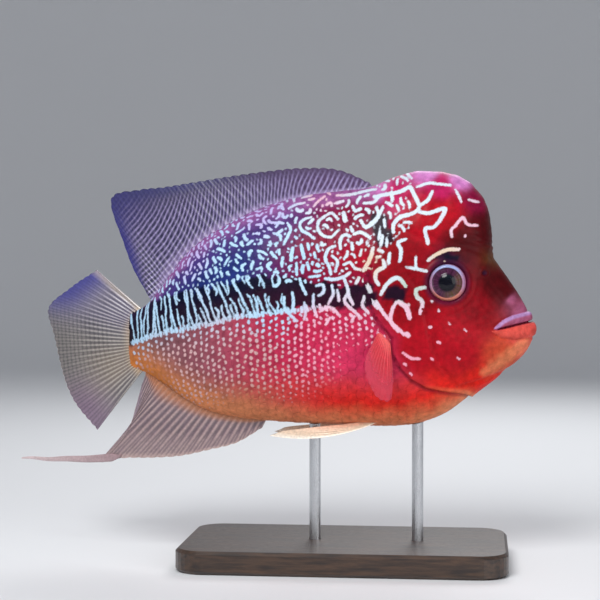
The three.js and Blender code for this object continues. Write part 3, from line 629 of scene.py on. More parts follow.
# A field of distances to pale strokes, less than 0 inside them
class MarkField:
    def __init__(self, low, high):
        self.low = np.array(low)
        size = (np.array(high) - self.low) / FIELD_STEP
        self.field = np.full(size.astype(int) + 1, NO_MARK)

    def stroke(self, start, end, half):
        reach = half + NO_MARK / 2
        first = (np.minimum(start, end) - reach - self.low) / FIELD_STEP
        last = (np.maximum(start, end) + reach - self.low) / FIELD_STEP
        i, j = np.maximum(0, first.astype(int))
        part = self.field[i:int(last[0]) + 2, j:int(last[1]) + 2]
        if part.size == 0:
            return
        u = self.low[0] + FIELD_STEP * (i + np.arange(part.shape[0]))[:, None]
        v = self.low[1] + FIELD_STEP * (j + np.arange(part.shape[1]))[None, :]
        du, dv = end[0] - start[0], end[1] - start[1]
        t = np.clip(((u - start[0]) * du + (v - start[1]) * dv) / max(du * du + dv * dv, 1e-6), 0, 1)
        away = np.hypot(u - start[0] - t * du, v - start[1] - t * dv) - half
        np.minimum(part, away, out=part)

    def line(self, points, half):
        curve = SmoothRows(points, 1)
        share = np.linspace(0, 1, max(2, int(curve.end / STROKE_STEP) + 1))
        spots = curve.at(share * curve.end)
        for start, end, at in zip(spots[:-1], spots[1:], share):
            taper = 0.68 + 0.32 * math.sqrt(math.sin(math.pi * (0.06 + 0.88 * at)))
            self.stroke(start, end, half * taper)

    def at(self, u, v):
        return lookup(self.field, (u - self.low[0]) / FIELD_STEP, (v - self.low[1]) / FIELD_STEP)


# Middle and half height of the band at a place along the flattened flank, and its a
def band_at(along):
    a, level, _ = side_view(along, 0)
    return a, float(height_at(BAND, a)) - level, float(band_half(a))


# The flank's pale marks on its flattened lattice: a fringe and pearls below the band, dashes
# across it, and worms packed above it
def flank_marks(seed):
    draw = np.random.default_rng(seed)
    marks = MarkField(FLANK_LOW, FLANK_HIGH)
    for column in range(MARK_COLUMNS):
        along = FIRST_COLUMN + MARK_PITCH * column
        a, middle, half = band_at(along)
        if a < MARKS_END:
            break
        low = middle - half
        if a < FRINGE_FRONT:
            lean = draw.normal(0.4, 0.2)
            u, v = along + draw.normal(0, JITTER / 2), low - 1.0 + draw.normal(0, JITTER)
            marks.stroke((u, v), (u + lean, v + 1.9), 0.72 + 0.14 * draw.random())
            u += MARK_PITCH / 2
            marks.stroke((u, v + 0.3), (u + lean, v + 1.2), 0.3 + 0.4 * draw.random())
        pearls(marks, along, low - 2.0, column % 2, draw)
    for along in np.arange(FIRST_COLUMN, FIRST_COLUMN + MARK_PITCH * MARK_COLUMNS, DASH_PITCH):
        a, middle, half = band_at(along)
        if MARKS_END < a < SHOULDER_REAR + 4:
            dashes(marks, along, middle - half, half, a, draw)
    pack_worms(marks, draw)
    return marks


# Rows of pearls from under the fringe down to the belly
def pearls(marks, along, top, odd, draw):
    for row in range(1, PEARL_ROWS):
        up = top - PEARL_PITCH * (row - 0.5 * odd)
        a, z, _ = side_view(along, up)
        shy = 0.8 * smoothstep(-2, 12, a) * smoothstep(124, 112, z)
        half = (0.56 + 0.28 * draw.random()) * smoothstep(76, 96, z - 0.12 * (a + 30)) * (1 - shy)
        u, v = along + draw.normal(0, 0.32), up + draw.normal(0, 0.32)
        if half > LEAST_PEARL and draw.random() > MISSING_PEARLS:
            marks.stroke((u, v), (u + draw.normal(0, 0.3), v + 0.5), half)


# Dashes of one column, right across the band or from its two edges
def dashes(marks, along, low, half, a, draw):
    whole = draw.random() < 0.25 + 0.5 * smoothstep(-50, -90, a)
    lean = draw.normal(0.22, 0.08)
    thick = 0.44 + 0.2 * draw.random()
    if whole:
        pieces = [(0.0, 2.0 * half + draw.uniform(0, 3))]
    else:
        low_end = half * draw.uniform(0.5, 1.15)
        pieces = [(0.0, low_end), (half * draw.uniform(1.35, 1.75), 2.0 * half + 1.0)]
    for start, end in pieces:
        rises = np.linspace(start, end, 4)
        marks.line([(along + lean * rise + draw.normal(0, JITTER), low + rise) for rise in rises], thick)


# Places to try for worms, in a chance order
def scattered(first, second, draw):
    spots = [(u + draw.normal(0, JITTER), v + draw.normal(0, JITTER)) for u in first for v in second]
    return draw.permutation(np.array(spots))


# Worms above the band, each put down where the marks before it leave a gap
def pack_worms(marks, draw):
    first = np.arange(FIRST_COLUMN, WORMS_END, FILL_STEP)
    order = scattered(first, np.arange(0.0, WORMS_TOP, FILL_STEP), draw)
    for dotted in (False, True):
        for along, up in order:
            a, z, _ = side_view(along, up)
            above = z - float(height_at(BAND, a)) - float(band_half(a))
            if a < SHOULDER_REAR - 1 and above > 0.3 and z < height_at(BACK, a) - 0.3:
                loose = float(smoothstep(-70, -30, a))
                put_worm(marks, (along, up), 1.0, loose, dotted, draw)


# One worm from a spot, if it stays clear of the others. It leans to the tail as it rises
def put_worm(marks, spot, tailward, loose, dotted, draw, least_gap=0.0):
    tilt = draw.normal(0.35, 0.25 + 0.6 * loose)
    length = 0.5 if dotted else draw.uniform(1.8, 4.8)
    half = draw.uniform(0.5, 0.7) if dotted else draw.uniform(0.72, 0.96)
    gap = max(least_gap, DOT_GAP if dotted else FILL_GAP)
    way = np.array([tailward * math.sin(tilt), math.cos(tilt)])
    across = np.array([way[1], -way[0]])
    curl = draw.normal(0, 0.25 + 0.5 * loose)
    points = []
    for share in (0.0, 0.33, 0.67, 1.0):
        points.append(spot + way * length * share + across * curl * math.sin(math.pi * share))
    if all(marks.at(*point) > gap + half for point in points):
        marks.line(points, half)


# The marks of the head and the shoulder: the strokes, then worms where they leave gaps above
# the band, and then a few across it
def head_marks(seed):
    draw = np.random.default_rng(seed)
    marks = MarkField(HEAD_LOW, HEAD_HIGH)
    for half, *numbers in HEAD_STROKES + SHOULDER_STROKES:
        points = np.array(numbers).reshape(-1, 2)
        moved = [point + draw.normal(0, 0.15, 2) for point in points]
        marks.line(moved, half * (0.9 if points[0, 0] > 33 else 1.0))
    first = np.arange(SHOULDER_REAR + 1, FILL_FRONT, FILL_STEP)
    order = scattered(first, np.arange(FILL_LOW, FILL_TOP, FILL_STEP), draw)
    for dotted in (False, True):
        for a, z in order:
            above = z - height_at(BAND, a) - 0.7 * band_half(a)
            over_cheek = a > SHOULDER_FRONT and z < CHEEK_LEVEL + 1.1 * (a - SHOULDER_FRONT)
            if above > 0.5 and z < height_at(BACK, a) - 1.0 and not over_cheek:
                put_worm(marks, (a, z), -1.0, 1.0, dotted, draw)
    for a, z in order:
        if SHOULDER_REAR + 5 < a < SHOULDER_FRONT and abs(z - height_at(BAND, a)) < band_half(a):
            put_worm(marks, (a, z), -1.0, 0.3, False, draw, BAND_GAP)
    return marks


FLANKS = {-1: (flank_marks(11), head_marks(5)), 1: (flank_marks(23), head_marks(8))}


# The pale marks' distance at places of one flank
def mark_distance(a, z, along, up, side):
    flank, head = FLANKS[side]
    loose = 0.12 + 0.2 * smoothstep(-14, -6, z - height_at(BAND, a))
    bow = loose * unevenness(along, up, 1.9, 2.0)
    sway = loose * unevenness(along, up, 2.3, 4.0)
    on_trunk = smoothstep(-1.0, 1.5, behind_gills(a, z))
    trunk = flank.at(along + bow, up + sway) + NO_MARK * (1 - on_trunk)
    swell = 0.14 * unevenness(a, z, 0.9, 1.0)
    return np.minimum(trunk, head.at(a + 0.4 * bow, z + 0.4 * sway)) + swell


# Ground, light and mark values for places of the body, in rows
def body_values(spots, along, up, side):
    a, z = spots[..., 0], spots[..., 2]
    return {
        "ground": ground_colour(a, z).reshape(-1, 3),
        "light": blend_tones(a, z, LIGHT).reshape(-1, 3),
        "mark": mark_distance(a, z, along, up, side).ravel(),
    }


# A piece from arrays, closed and facing outward, with its values as attributes
def make_piece(name, points, quads, triangles=None, values=None, corner_uv=None):
    triangles = np.zeros((0, 3), dtype=int) if triangles is None else triangles
    halves = np.concatenate([quads[:, [0, 1, 2]], quads[:, [0, 2, 3]], triangles])
    a, b, c = (points[halves[:, i]] for i in range(3))
    if np.einsum("ij,ij->", a, np.cross(b, c)) < 0:
        quads = quads[:, ::-1]
        triangles = triangles[:, ::-1]
        if corner_uv is not None:
            corner_uv = (corner_uv[0][:, ::-1], corner_uv[1][:, ::-1])
    corners = np.concatenate([quads.ravel(), triangles.ravel()])
    mesh = bpy.data.meshes.new(name)
    mesh.vertices.add(len(points))
    mesh.vertices.foreach_set("co", points.astype(np.float32).ravel())
    mesh.loops.add(len(corners))
    mesh.loops.foreach_set("vertex_index", corners.astype(np.int32))
    mesh.polygons.add(len(quads) + len(triangles))
    starts = np.concatenate([4 * np.arange(len(quads)), 4 * len(quads) + 3 * np.arange(len(triangles))])
    mesh.polygons.foreach_set("loop_start", starts.astype(np.int32))
    if corner_uv is not None:
        layer = mesh.uv_layers.new(name="OFBake")
        flat = np.concatenate([corner_uv[0].reshape(-1, 2), corner_uv[1].reshape(-1, 2)])
        layer.data.foreach_set("uv", flat.astype(np.float32).ravel())
    for key, value in (values or {}).items():
        kind = "FLOAT_COLOR" if np.ndim(value) == 2 else "FLOAT"
        layer = mesh.attributes.new(key, kind, "POINT")
        if kind == "FLOAT_COLOR":
            value = np.concatenate([value, np.ones((len(value), 1))], axis=1)
        field = "color" if kind == "FLOAT_COLOR" else "value"
        layer.data.foreach_set(field, value.astype(np.float32).ravel())
    mesh.update(calc_edges=True)
    mesh.shade_smooth()
    piece = bpy.data.objects.new(name, mesh)
    bpy.context.scene.collection.objects.link(piece)
    return piece


# Quads over a grid of rows and columns, and the last column joined to the first if closed
def grid_quads(rows, columns, closed=False):
    across = columns if closed else columns - 1
    i, j = np.meshgrid(np.arange(rows - 1), np.arange(across), indexing="ij")
    i, j = i.ravel(), j.ravel()
    step = [(0, 0), (1, 0), (1, 1), (0, 1)]
    places = np.stack([np.stack([i + di, j + dj], axis=-1) for di, dj in step], axis=1)
    return places[..., 0] * columns + places[..., 1] % columns, places


# Places of a grid's border, in order round it
def border(rows, columns):
    return np.concatenate([
        np.arange(columns), columns * np.arange(1, rows) + columns - 1,
        (rows - 1) * columns + np.arange(columns - 2, -1, -1), columns * np.arange(rows - 2, 0, -1),
    ])


# Faces of a tube of rings closed by two end points that come last, and the quads' places
def tube_faces(rows, columns):
    quads, places = grid_quads(rows, columns, closed=True)
    ring = np.arange(columns)
    after = (ring + 1) % columns
    count = rows * columns
    last = count - columns
    front = np.stack([np.full(columns, count), ring, after], axis=1)
    rear = np.stack([np.full(columns, count + 1), last + after, last + ring], axis=1)
    return quads, np.concatenate([front, rear]), places


# A piece of the fish from straight points, with its material, slot and the nodes it replaces
def fish_piece(name, points, faces, values, material, nodes=(), corner_uv=None):
    piece = make_piece(name, place(*points.T), *faces, values, corner_uv)
    piece.data.materials.append(material)
    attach(piece, "root")
    if nodes:
        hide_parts(*nodes)


FLESH_NODES = [
    "head", "nuchal_hump", "upper_lip", "lower_lip", "lower_jaw", "gill_membrane", "gill_cover_right",
    "gill_cover_left", "trunk_front", "trunk_rear", "tail_stalk",
]
HEAD_RING = 0.6
TRUNK_RING = 1.05
HEAD_END = 106.0
FIRST_RING = 0.25
ROUND_QUARTER = 80
SKIN_ENDS = np.array([[103.1, 0, 127.4], [-110.5, 0, 116.0]])


# Angles of one ring, evenly spaced along the skin in each quarter
def ring_angles(knot):
    quarters = []
    for start in range(4):
        fine = QUARTER * (start + np.linspace(0, 1, 2 * ROUND_QUARTER + 1))
        arc = run_of(np.stack(body(np.full(len(fine), knot), fine), axis=-1))
        quarters.append(np.interp(np.linspace(0, arc[-1], ROUND_QUARTER, endpoint=False), arc, fine))
    return np.concatenate(quarters)


# One skin from the lips to the root of the tail, the coat's depth inside the scaled parts
def build_skin(material):
    knots = np.concatenate([
        np.arange(FIRST_RING, HEAD_END, HEAD_RING), np.arange(HEAD_END, BODY.end, TRUNK_RING),
    ])
    angles = np.stack([ring_angles(knot) for knot in knots])
    rows, columns = angles.shape
    knot_grid = np.repeat(knots[:, None], columns, axis=1)
    on_left = angles > math.pi
    a, _, z = body(knot_grid, angles)
    spots = surface(knot_grid, angles, -COAT_DEPTH * smoothstep(-1.0, 6.0, behind_gills(a, z)))
    along, up = chart_of(knot_grid, np.where(on_left, 2 * math.pi - angles, angles))
    values = body_values(spots, along, up, -1)
    left = body_values(spots, along, up, 1)
    mark = np.where(on_left.ravel(), left["mark"], values["mark"])
    values["mark"] = np.concatenate([mark, [NO_MARK, NO_MARK]])
    at_ends = [ROUND_QUARTER, (rows - 1) * columns + ROUND_QUARTER]
    for key in ("ground", "light"):
        values[key] = np.concatenate([values[key], values[key][at_ends]])
    quads, triangles, places = tube_faces(rows, columns)
    quad_uv = (places + [1, 0]) / [rows + 1, columns]
    caps = (
        cap_map(0.0, 1 / (rows + 1), (0.5, 0, 1), columns),
        cap_map(1.0, rows / (rows + 1), (0.5, 1, 0), columns),
    )
    points = np.concatenate([spots.reshape(-1, 3), SKIN_ENDS])
    maps = (quad_uv, np.concatenate(caps))
    fish_piece("skin", points, (quads, triangles), values, material, FLESH_NODES, maps)


# Map of one end's triangles, from the end point to the nearest ring
def cap_map(pole, base, steps, columns):
    v = (np.arange(columns)[:, None] + np.array(steps)) / columns
    return np.stack([np.broadcast_to([pole, base, base], v.shape), v], axis=-1)


SCALE_CELLS = (12, 16)
PATCH = 0.003


# The points of one scale: along it from its root, across it, and its height off the skin
def scale_form():
    s, t = np.meshgrid(*(np.linspace(0, 1, cells + 1) for cells in SCALE_CELLS), indexing="ij")
    across = 2 * t - 1
    rear = 0.08 + 0.92 * np.sqrt(np.maximum(0, 1 - across ** 2))
    front = 0.55 + 0.45 * np.sqrt(np.maximum(0, 1 - np.abs(across) ** 3))
    height = -0.12 + 0.26 * s ** 1.25 + 0.06 * (1 - across ** 2) * np.sin(math.pi * s)
    return -0.5 * front + (0.5 * rear + 0.5 * front) * s, across / 2, height


# Closed shells of scales at places of one flank, tail first. Each has its top, a skirt round
# its border and a point under its middle
def build_scales(name, material, side, spots):
    spots = spots[np.argsort(-spots[:, 0], kind="stable")]
    along, up, length, width, depth = spots.T[:, :, None]
    p, q, height = (part.ravel() for part in scale_form())
    rows, columns = (cells + 1 for cells in SCALE_CELLS)
    rim = border(rows, columns)
    picked = np.concatenate([np.arange(p.size), rim])
    m = along + length * p[picked]
    v = up + width * q[picked]
    lift = depth * (height[picked] - 0.3)
    lift[:, p.size:] -= 0.3 * depth
    shell = surface(*spot_of(m, v), lift)
    points = np.concatenate([shell, shell[:, p.size:].mean(axis=1, keepdims=True)], axis=1)
    m = np.concatenate([m, along], axis=1)
    v = np.concatenate([v, up], axis=1)
    values = body_values(points, m, v, side)
    edge = np.concatenate([rear_edge(p), np.ones(len(rim)), [0.0]])
    values["edge"] = np.tile(edge, len(spots))

    quads, _ = grid_quads(rows, columns)
    skirt = p.size + np.arange(len(rim))
    after = np.roll(np.arange(len(rim)), -1)
    wall = np.stack([rim[after], rim, skirt, skirt[after]], axis=1)
    base = np.stack([np.full(len(rim), skirt[-1] + 1), skirt[after], skirt], axis=1)
    first = points.shape[1] * np.arange(len(spots))[:, None, None]
    quads = (np.concatenate([wall, quads]) + first).reshape(-1, 4)
    base = (base + first).reshape(-1, 3)
    uv = patch_map(along, up, length, p, q, len(rim)).reshape(-1, 2)
    points = points.reshape(-1, 3) * np.array([1.0, -side, 1.0])
    fish_piece(name, points, (quads, base), values, material, (), (uv[quads], uv[base]))


# One small patch for each scale at its root's place on the flattened flank. The sides and
# the underside draw in to the patch's middle
def patch_map(along, up, length, p, q, rim_count):
    roots = np.stack([along - length / 2, up], axis=-1)
    low = roots.min(axis=0)
    corner = (1 - PATCH) * (roots - low) / (roots.max(axis=0) - low)
    tops = corner + PATCH * np.stack([(p - p.min()) / np.ptp(p), q + 0.5], axis=-1)
    middle = np.repeat(corner + PATCH / 2, rim_count + 1, axis=1)
    return np.concatenate([tops, middle], axis=1)


# How near a scale's point is to its free rear edge, from 0 to 1
def rear_edge(p):
    return smoothstep(0.72, 1.0, (p - p.min()) / np.ptp(p))


# Places, sizes and depths of the flank's scales
def flank_scales(seed):
    draw = np.random.default_rng(seed)
    rows = []
    for column in range(COLUMNS):
        along = FIRST_COLUMN + COLUMN_PITCH * (column - 1)
        pitch = float(pitch_at(along))
        for row in range(-ROWS_ASIDE, ROWS_ASIDE + 1):
            up = (row + 0.5 * (column % 2)) * pitch
            a, z, angle = side_view(along, up)
            at_seam = angle < BACK_SEAM or angle > math.pi - BELLY_SEAM
            behind = float(behind_gills(a, z))
            if at_seam or behind < COAT_GAP or a < LAST_SCALE:
                continue
            grown = 0.35 + 0.65 * float(smoothstep(1.0, 14.0, behind))
            depth = grown * (1 + 0.05 * draw.normal(0, 1)) * (0.6 + 0.4 * pitch / ROW_PITCH)
            rows.append((along, up, SCALE_LENGTH * (0.8 + 0.2 * grown), pitch * SCALE_WIDTH, depth))
    return np.array(rows)


# The small flat scales of the cheek and the gill cover
def cheek_scales():
    rows = []
    for column in range(CHEEK_COLUMNS):
        along = CHEEK_START + CHEEK_PITCH * column
        for row in CHEEK_ROWS:
            up = (row + 0.5 * (column % 2)) * CHEEK_PITCH * CHEEK_ROW_SHARE
            a, z, angle = side_view(along, up)
            ahead = -float(behind_gills(a, z))
            clear = ahead > GILL_GAP and off_spot(a, z, EYE) > EYE_GAP and angle < CHEEK_ANGLE
            if clear and z < CHEEK_TOP and a < CHEEK_FRONT:
                rows.append((along, up, CHEEK_SCALE, CHEEK_SCALE, CHEEK_DEPTH))
    return np.array(rows)


def build_coat(material):
    for side, name in ((-1, "right"), (1, "left")):
        spots = flank_scales(31 + side)
        in_front = spots[:, 0] <= np.median(spots[:, 0])
        parts = {"front": spots[in_front], "rear": spots[~in_front], "cheek": cheek_scales()}
        for part, rows in parts.items():
            build_scales(f"scales_{name}_{part}", material, side, rows)


# Nodes of a material by kind, and links between them
class Nodes:
    def __init__(self, name):
        self.material = bpy.data.materials.new(name)
        self.material.use_nodes = True
        self.tree = self.material.node_tree
        self.shader = self.tree.nodes["Principled BSDF"]

    # Links or sets the sockets of a node, by name or number
    def feed(self, node, inputs):
        for key, value in inputs.items():
            if isinstance(value, bpy.types.NodeSocket):
                self.tree.links.new(value, node.inputs[key])
            else:
                node.inputs[key].default_value = value

    def add(self, kind, inputs, **settings):
        node = self.tree.nodes.new(kind)
        for key, value in settings.items():
            setattr(node, key, value)
        self.feed(node, inputs)
        return node

    def attribute(self, name, output):
        return self.add("ShaderNodeAttribute", {}, attribute_name=name).outputs[output]

    def noise(self, scale, detail=3.0, stretch=None):
        vector = self.add("ShaderNodeTexCoord", {}).outputs["Object"]
        if stretch:
            vector = self.add("ShaderNodeMapping", {"Vector": vector, "Scale": stretch}).outputs[0]
        inputs = {"Vector": vector, "Scale": scale, "Detail": detail}
        return self.add("ShaderNodeTexNoise", inputs).outputs["Fac"]

    def ramp(self, value, low, high, to_low, to_high, kind="LINEAR"):
        inputs = {"Value": value, "From Min": low, "From Max": high, "To Min": to_low, "To Max": to_high}
        return self.add("ShaderNodeMapRange", inputs, interpolation_type=kind).outputs["Result"]

    # Noise spread between two values
    def speckle(self, scale, detail, low, high):
        return self.ramp(self.noise(scale, detail), 0.3, 0.7, low, high)

    def mix(self, share, first, second, blend="MIX"):
        inputs = {0: share, 6: first, 7: second}
        return self.add("ShaderNodeMix", inputs, data_type="RGBA", blend_type=blend).outputs[2]

    # A colour made lighter or darker by a value
    def shaded(self, colour, value):
        grey = self.add("ShaderNodeCombineColor", {0: value, 1: value, 2: value}).outputs[0]
        return self.mix(1.0, colour, grey, "MULTIPLY")

    # Sets the shader and gives the material. The bump is a height, its strength and its depth
    def finish(self, inputs, bump=None):
        self.feed(self.shader, inputs)
        if bump:
            node = self.add("ShaderNodeBump", dict(zip(("Height", "Strength", "Distance"), bump)))
            self.feed(self.shader, {"Normal": node.outputs[0]})
        return self.material


# Wet skin or scales: the ground colour with the pale marks over it, and on scales painted shade toward
# each free rear edge
def hide_material(name, scaled):
    nodes = Nodes(name)
    inputs = {0: nodes.attribute("mark", "Fac"), 1: nodes.speckle(1100.0, 2.0, -0.16, 0.16)}
    mark = nodes.add("ShaderNodeMath", inputs, operation="ADD").outputs[0]
    share = nodes.ramp(mark, 0.36, -0.4, 0.0, 1.0, "SMOOTHSTEP")
    ground = nodes.shaded(nodes.attribute("ground", "Color"), nodes.speckle(330.0, 4.0, 0.78, 1.2))
    # Darker toward each scale's free rear edge and a little lighter elsewhere: painted shade where a
    # scale lies over the next
    if scaled:
        ground = nodes.shaded(ground, nodes.ramp(nodes.attribute("edge", "Fac"), 0.0, 1.0, 1.02, 0.93))
    colour = nodes.mix(share, ground, nodes.attribute("light", "Color"))
    return nodes.finish({
        "Base Color": nodes.shaded(colour, nodes.speckle(2600.0, 2.0, 0.9, 1.1)),
        "Roughness": nodes.speckle(420.0, 3.0, 0.4, 0.56),
        "Coat Weight": 0.05, "Coat Roughness": 0.2, "Specular IOR Level": 0.07,
    }, (nodes.noise(1500.0, 4.0), 0.25, 0.00012))


# Fins: a and z of the root and the tip of some of their rays, how many rays and rows they
# have, thickness at root and tip, waves from side to side, and how deep the rim is notched
FINS = {
    "dorsal_fin": {
        "rays": [
            (22.4, 197, 20.4, 199.8), (10.4, 195.8, 5.1, 206.2), (-5.4, 194.2, -14.4, 207.4),
            (-23.9, 190.6, -36.1, 205.6), (-39.9, 185.4, -56, 203.1), (-55.5, 177.6, -75.3, 200.2),
            (-68.1, 170, -90.6, 198), (-78.2, 161.2, -104.1, 196.8), (-86.7, 150.6, -120.6, 192.2),
            (-91.4, 144.8, -113.7, 168.7), (-94.6, 140.6, -107.8, 153.6),
            (-97.4, 138.1, -100.6, 141.3),
        ],
        "count": 38, "rows": 96, "root": 3.2, "tip": 0.7, "wave": 1.4, "waves": 1.6, "notch": 0.7,
        "nodes": ("dorsal_fin_spiny", "dorsal_fin_soft"),
    },
    "anal_fin": {
        "rays": [
            (-34.1, 74.5, -36.2, 70.2), (-42.7, 74.6, -49.1, 62.5), (-53.5, 76.2, -65.6, 57.9),
            (-63.3, 78.6, -81.2, 54.3), (-71.6, 82, -98.5, 52.6), (-79.5, 86.4, -115.3, 51.6),
            (-87, 91, -130.3, 48.9), (-92.1, 93.9, -122.1, 54.8), (-95.6, 95.9, -111.6, 66.6),
            (-98.4, 97.2, -105.6, 82.5), (-100.4, 98.2, -102.6, 92),
        ],
        "count": 26, "rows": 72, "root": 3, "tip": 0.8, "wave": 1.2, "waves": 1.2, "notch": 0.5,
    },
    "tail_fin": {
        "rays": [
            (-103.4, 132.4, -130.6, 153.6), (-106, 126, -147, 143.6), (-106.8, 121.3, -163.7, 131.2),
            (-107, 115.9, -160.8, 117.6), (-106.8, 110.5, -155.2, 101.2), (-106, 105.1, -145.6, 83.5),
            (-103, 99.6, -130.6, 66.6),
        ],
        "count": 28, "rows": 84, "root": 3.6, "tip": 0.8, "wave": 1.8, "waves": 1.5, "notch": 0.5,
    },
    "pectoral_fin": {
        "rays": [
            (27.4, 123.6, 23.6, 116.6), (28.4, 122.8, 20.8, 109.6), (29.4, 121.6, 21.2, 102.4),
            (30.4, 120.2, 23.8, 96.2), (31.4, 118.8, 28.6, 89.8), (32.2, 117.6, 33.4, 88.8),
            (33, 116.6, 35.2, 98),
        ],
        "spread": (4, 10, 15, 19, 22, 21, 12), "root_side": 25.5, "count": 13, "rows": 44, "root": 2.2,
        "tip": 0.7, "wave": 0.8, "waves": 1, "notch": 0.7,
    },
    "pelvic_fin": {
        "rays": [
            (26.6, 75.2, -30.8, 67.4), (25.6, 75.3, -26, 69.4), (24.4, 75.4, -17, 70.8),
            (23.2, 75.5, -6, 72), (22, 75.6, 6, 73.2),
        ],
        "spread": (3.2, 2.8, 2.4, 1.6, 0.8), "root_side": 7.4, "droop": 4.6, "count": 6, "rows": 60,
        "root": 2.6, "tip": 0.9, "wave": 0.4, "waves": 1, "notch": 0.8,
    },
}
CELLS_PER_RAY = 8
ROOT_INSET = 2.5


# The two faces of a fin as grids of straight points, with its rays and places on it
def fin_grids(fin):
    spread = fin.get("spread", [0] * len(fin["rays"]))
    rows = SmoothRows([(*ray, side) for ray, side in zip(fin["rays"], spread)], 2)
    share = np.linspace(0, 1, fin["count"] * CELLS_PER_RAY + 1)[:, None]
    ra, rz, ta, tz, side = np.moveaxis(rows.at(share[:, 0] * rows.end), -1, 0)[:, :, None]
    length = np.maximum(ROOT_INSET, np.hypot(ta - ra, tz - rz))
    inner = -ROOT_INSET / length
    v = inner + (1 - inner) * np.linspace(0, 1, fin["rows"] + 1)[None, :]
    up = np.maximum(0, v)
    phase = math.pi * fin["count"] * share
    single = np.abs(np.cos(phase)) ** 5
    double = np.abs(np.cos(2 * phase)) ** 3
    ray = single + (np.maximum(double, single) * 0.8 - single) * smoothstep(0.45, 0.85, up)
    notch = fin["notch"] / length * (1 - np.abs(np.cos(phase))) * up ** 8
    v = v - notch
    thick = fin["root"] + (fin["tip"] - fin["root"]) * np.sqrt(up)
    half = thick / 2 * (0.62 + 0.4 * ray)
    wave = fin["wave"] * up ** 2 * np.sin(2 * math.pi * fin["waves"] * share)
    middle = fin.get("root_side", 0) + side * up + wave
    sag = 4 * fin.get("droop", 0) * up * (1 - up) * (1 - share)
    a = ra + (ta - ra) * v
    z = rz + (tz - rz) * v - sag
    faces = [np.stack([a, -middle + sign * half, z], axis=-1) for sign in (-1, 1)]
    return faces, {"share": share + 0 * v, "up": up, "ray": ray, "high": up * length, "a": a, "z": z}


# A fin as one closed sheet with ridged rays
def build_fin(name, fin, painter, material, mirror, nodes):
    faces, places = fin_grids(fin)
    columns, rows = places["up"].shape
    points = np.concatenate([face.reshape(-1, 3) for face in faces]) * np.array([1, mirror, 1])
    quads, _ = grid_quads(columns, rows)
    back = columns * rows
    rim = border(columns, rows)
    after = np.roll(rim, -1)
    walls = np.stack([after, rim, rim + back, after + back], axis=1)
    quads = np.concatenate([quads, quads[:, ::-1] + back, walls])
    colour = painter(**places).reshape(-1, 3)
    values = {"ground": np.concatenate([colour, colour]), "tip": np.tile(places["up"].ravel(), 2)}
    fish_piece(f"{name}_sheet", points, (quads, None), values, material, nodes)


def paint_dorsal(up, share, ray, a, z, **rest):
    steep = math.radians(38) + math.radians(26) * smoothstep(0.9, 0.2, share)
    beat = (z * np.cos(steep) - a * np.sin(steep)) / 2.5 + 0.12 * unevenness(a, z, 3.0)
    streak = smoothstep(0.0, 0.9, np.cos(2 * math.pi * beat))
    rear = smoothstep(0.62, 0.95, share) * smoothstep(0.45, 0.95, up)
    tip = smoothstep(0.75, 1.0, up) * smoothstep(0.3, 0.6, share)
    return painted(
        (36, 32, 66),
        ((68, 42, 82), smoothstep(0.5, 0.1, share)),
        ((178, 164, 212), 0.58 * streak * smoothstep(1.05, 0.5, up)),
        ((128, 114, 164), 0.22 * ray),
        # Deep blue over the upper rear: a painted glow of backlight at the fin's rear edge
        ((24, 24, 132), 0.75 * rear * (1 - 0.4 * streak)),
        ((40, 42, 104), 0.7 * tip * (1 - rear)),
        ((178, 156, 204), 0.4 * smoothstep(0.16, 0.0, up)),
    )


def paint_anal(up, share, ray, a, z, **rest):
    return painted(
        (150, 128, 128),
        ((70, 58, 70), 0.75 * (1 - ray) ** 2),
        ((196, 170, 166), 0.5 * ray),
        ((120, 96, 110), 0.15 + 0.15 * unevenness(a, z, 3.0)),
        ((186, 116, 66), 0.8 * smoothstep(0.2, 0.0, up)),
        ((104, 98, 130), 0.5 * smoothstep(0.6, 1.0, share) * smoothstep(0.3, 1, up)),
        ((206, 178, 168), 0.5 * smoothstep(0.88, 1.0, up)),
    )


def paint_tail(up, share, ray, high, **rest):
    bars = smoothstep(0.1, 0.8, np.cos(2 * math.pi * (high / 2.8 + 2 * share)))
    barred = smoothstep(0.2, 0.4, share) * smoothstep(0.85, 0.6, share) * smoothstep(0.15, 0.4, up)
    warm = smoothstep(0.45, 0.7, share) * smoothstep(0.98, 0.8, share) * smoothstep(0.9, 0.3, up)
    return painted(
        (128, 122, 146),
        ((134, 128, 124), smoothstep(0.25, 0.5, share)),
        ((132, 108, 130), smoothstep(0.62, 0.9, share) * smoothstep(0.3, 0.9, up)),
        ((58, 54, 66), 0.65 * (1 - ray) ** 2),
        ((204, 196, 190), 0.5 * ray * smoothstep(1.0, 0.2, up)),
        ((44, 46, 54), 0.6 * bars * barred * (1 - 0.5 * ray)),
        # Deep blue toward the tips of the upper lobe: a painted glow of backlight on the rear margin
        ((34, 38, 140), 0.75 * smoothstep(0.55, 1.0, up) * smoothstep(0.42, 0.2, share)),
        ((206, 190, 170), 0.5 * smoothstep(0.05, 0.0, share)),
        ((168, 146, 116), 0.25 * warm),
        ((214, 186, 150), 0.6 * smoothstep(0.16, 0.0, up)),
    )


def paint_pectoral(up, ray, **rest):
    return painted(
        (206, 48, 62),
        ((226, 96, 102), 0.3 * ray),
        ((206, 84, 120), 0.35 * smoothstep(0.4, 0.9, up)),
        ((236, 130, 120), 0.5 * smoothstep(0.3, 0.0, up)),
    )


def paint_pelvic(share, ray, **rest):
    return painted(
        (232, 206, 180),
        ((214, 132, 96), 0.7 * smoothstep(0.3, 0.9, share)),
        ((206, 150, 124), 0.3 * (1 - ray) * smoothstep(0.05, 0.3, share)),
        ((246, 236, 222), 0.8 * smoothstep(0.16, 0.02, share)),
    )


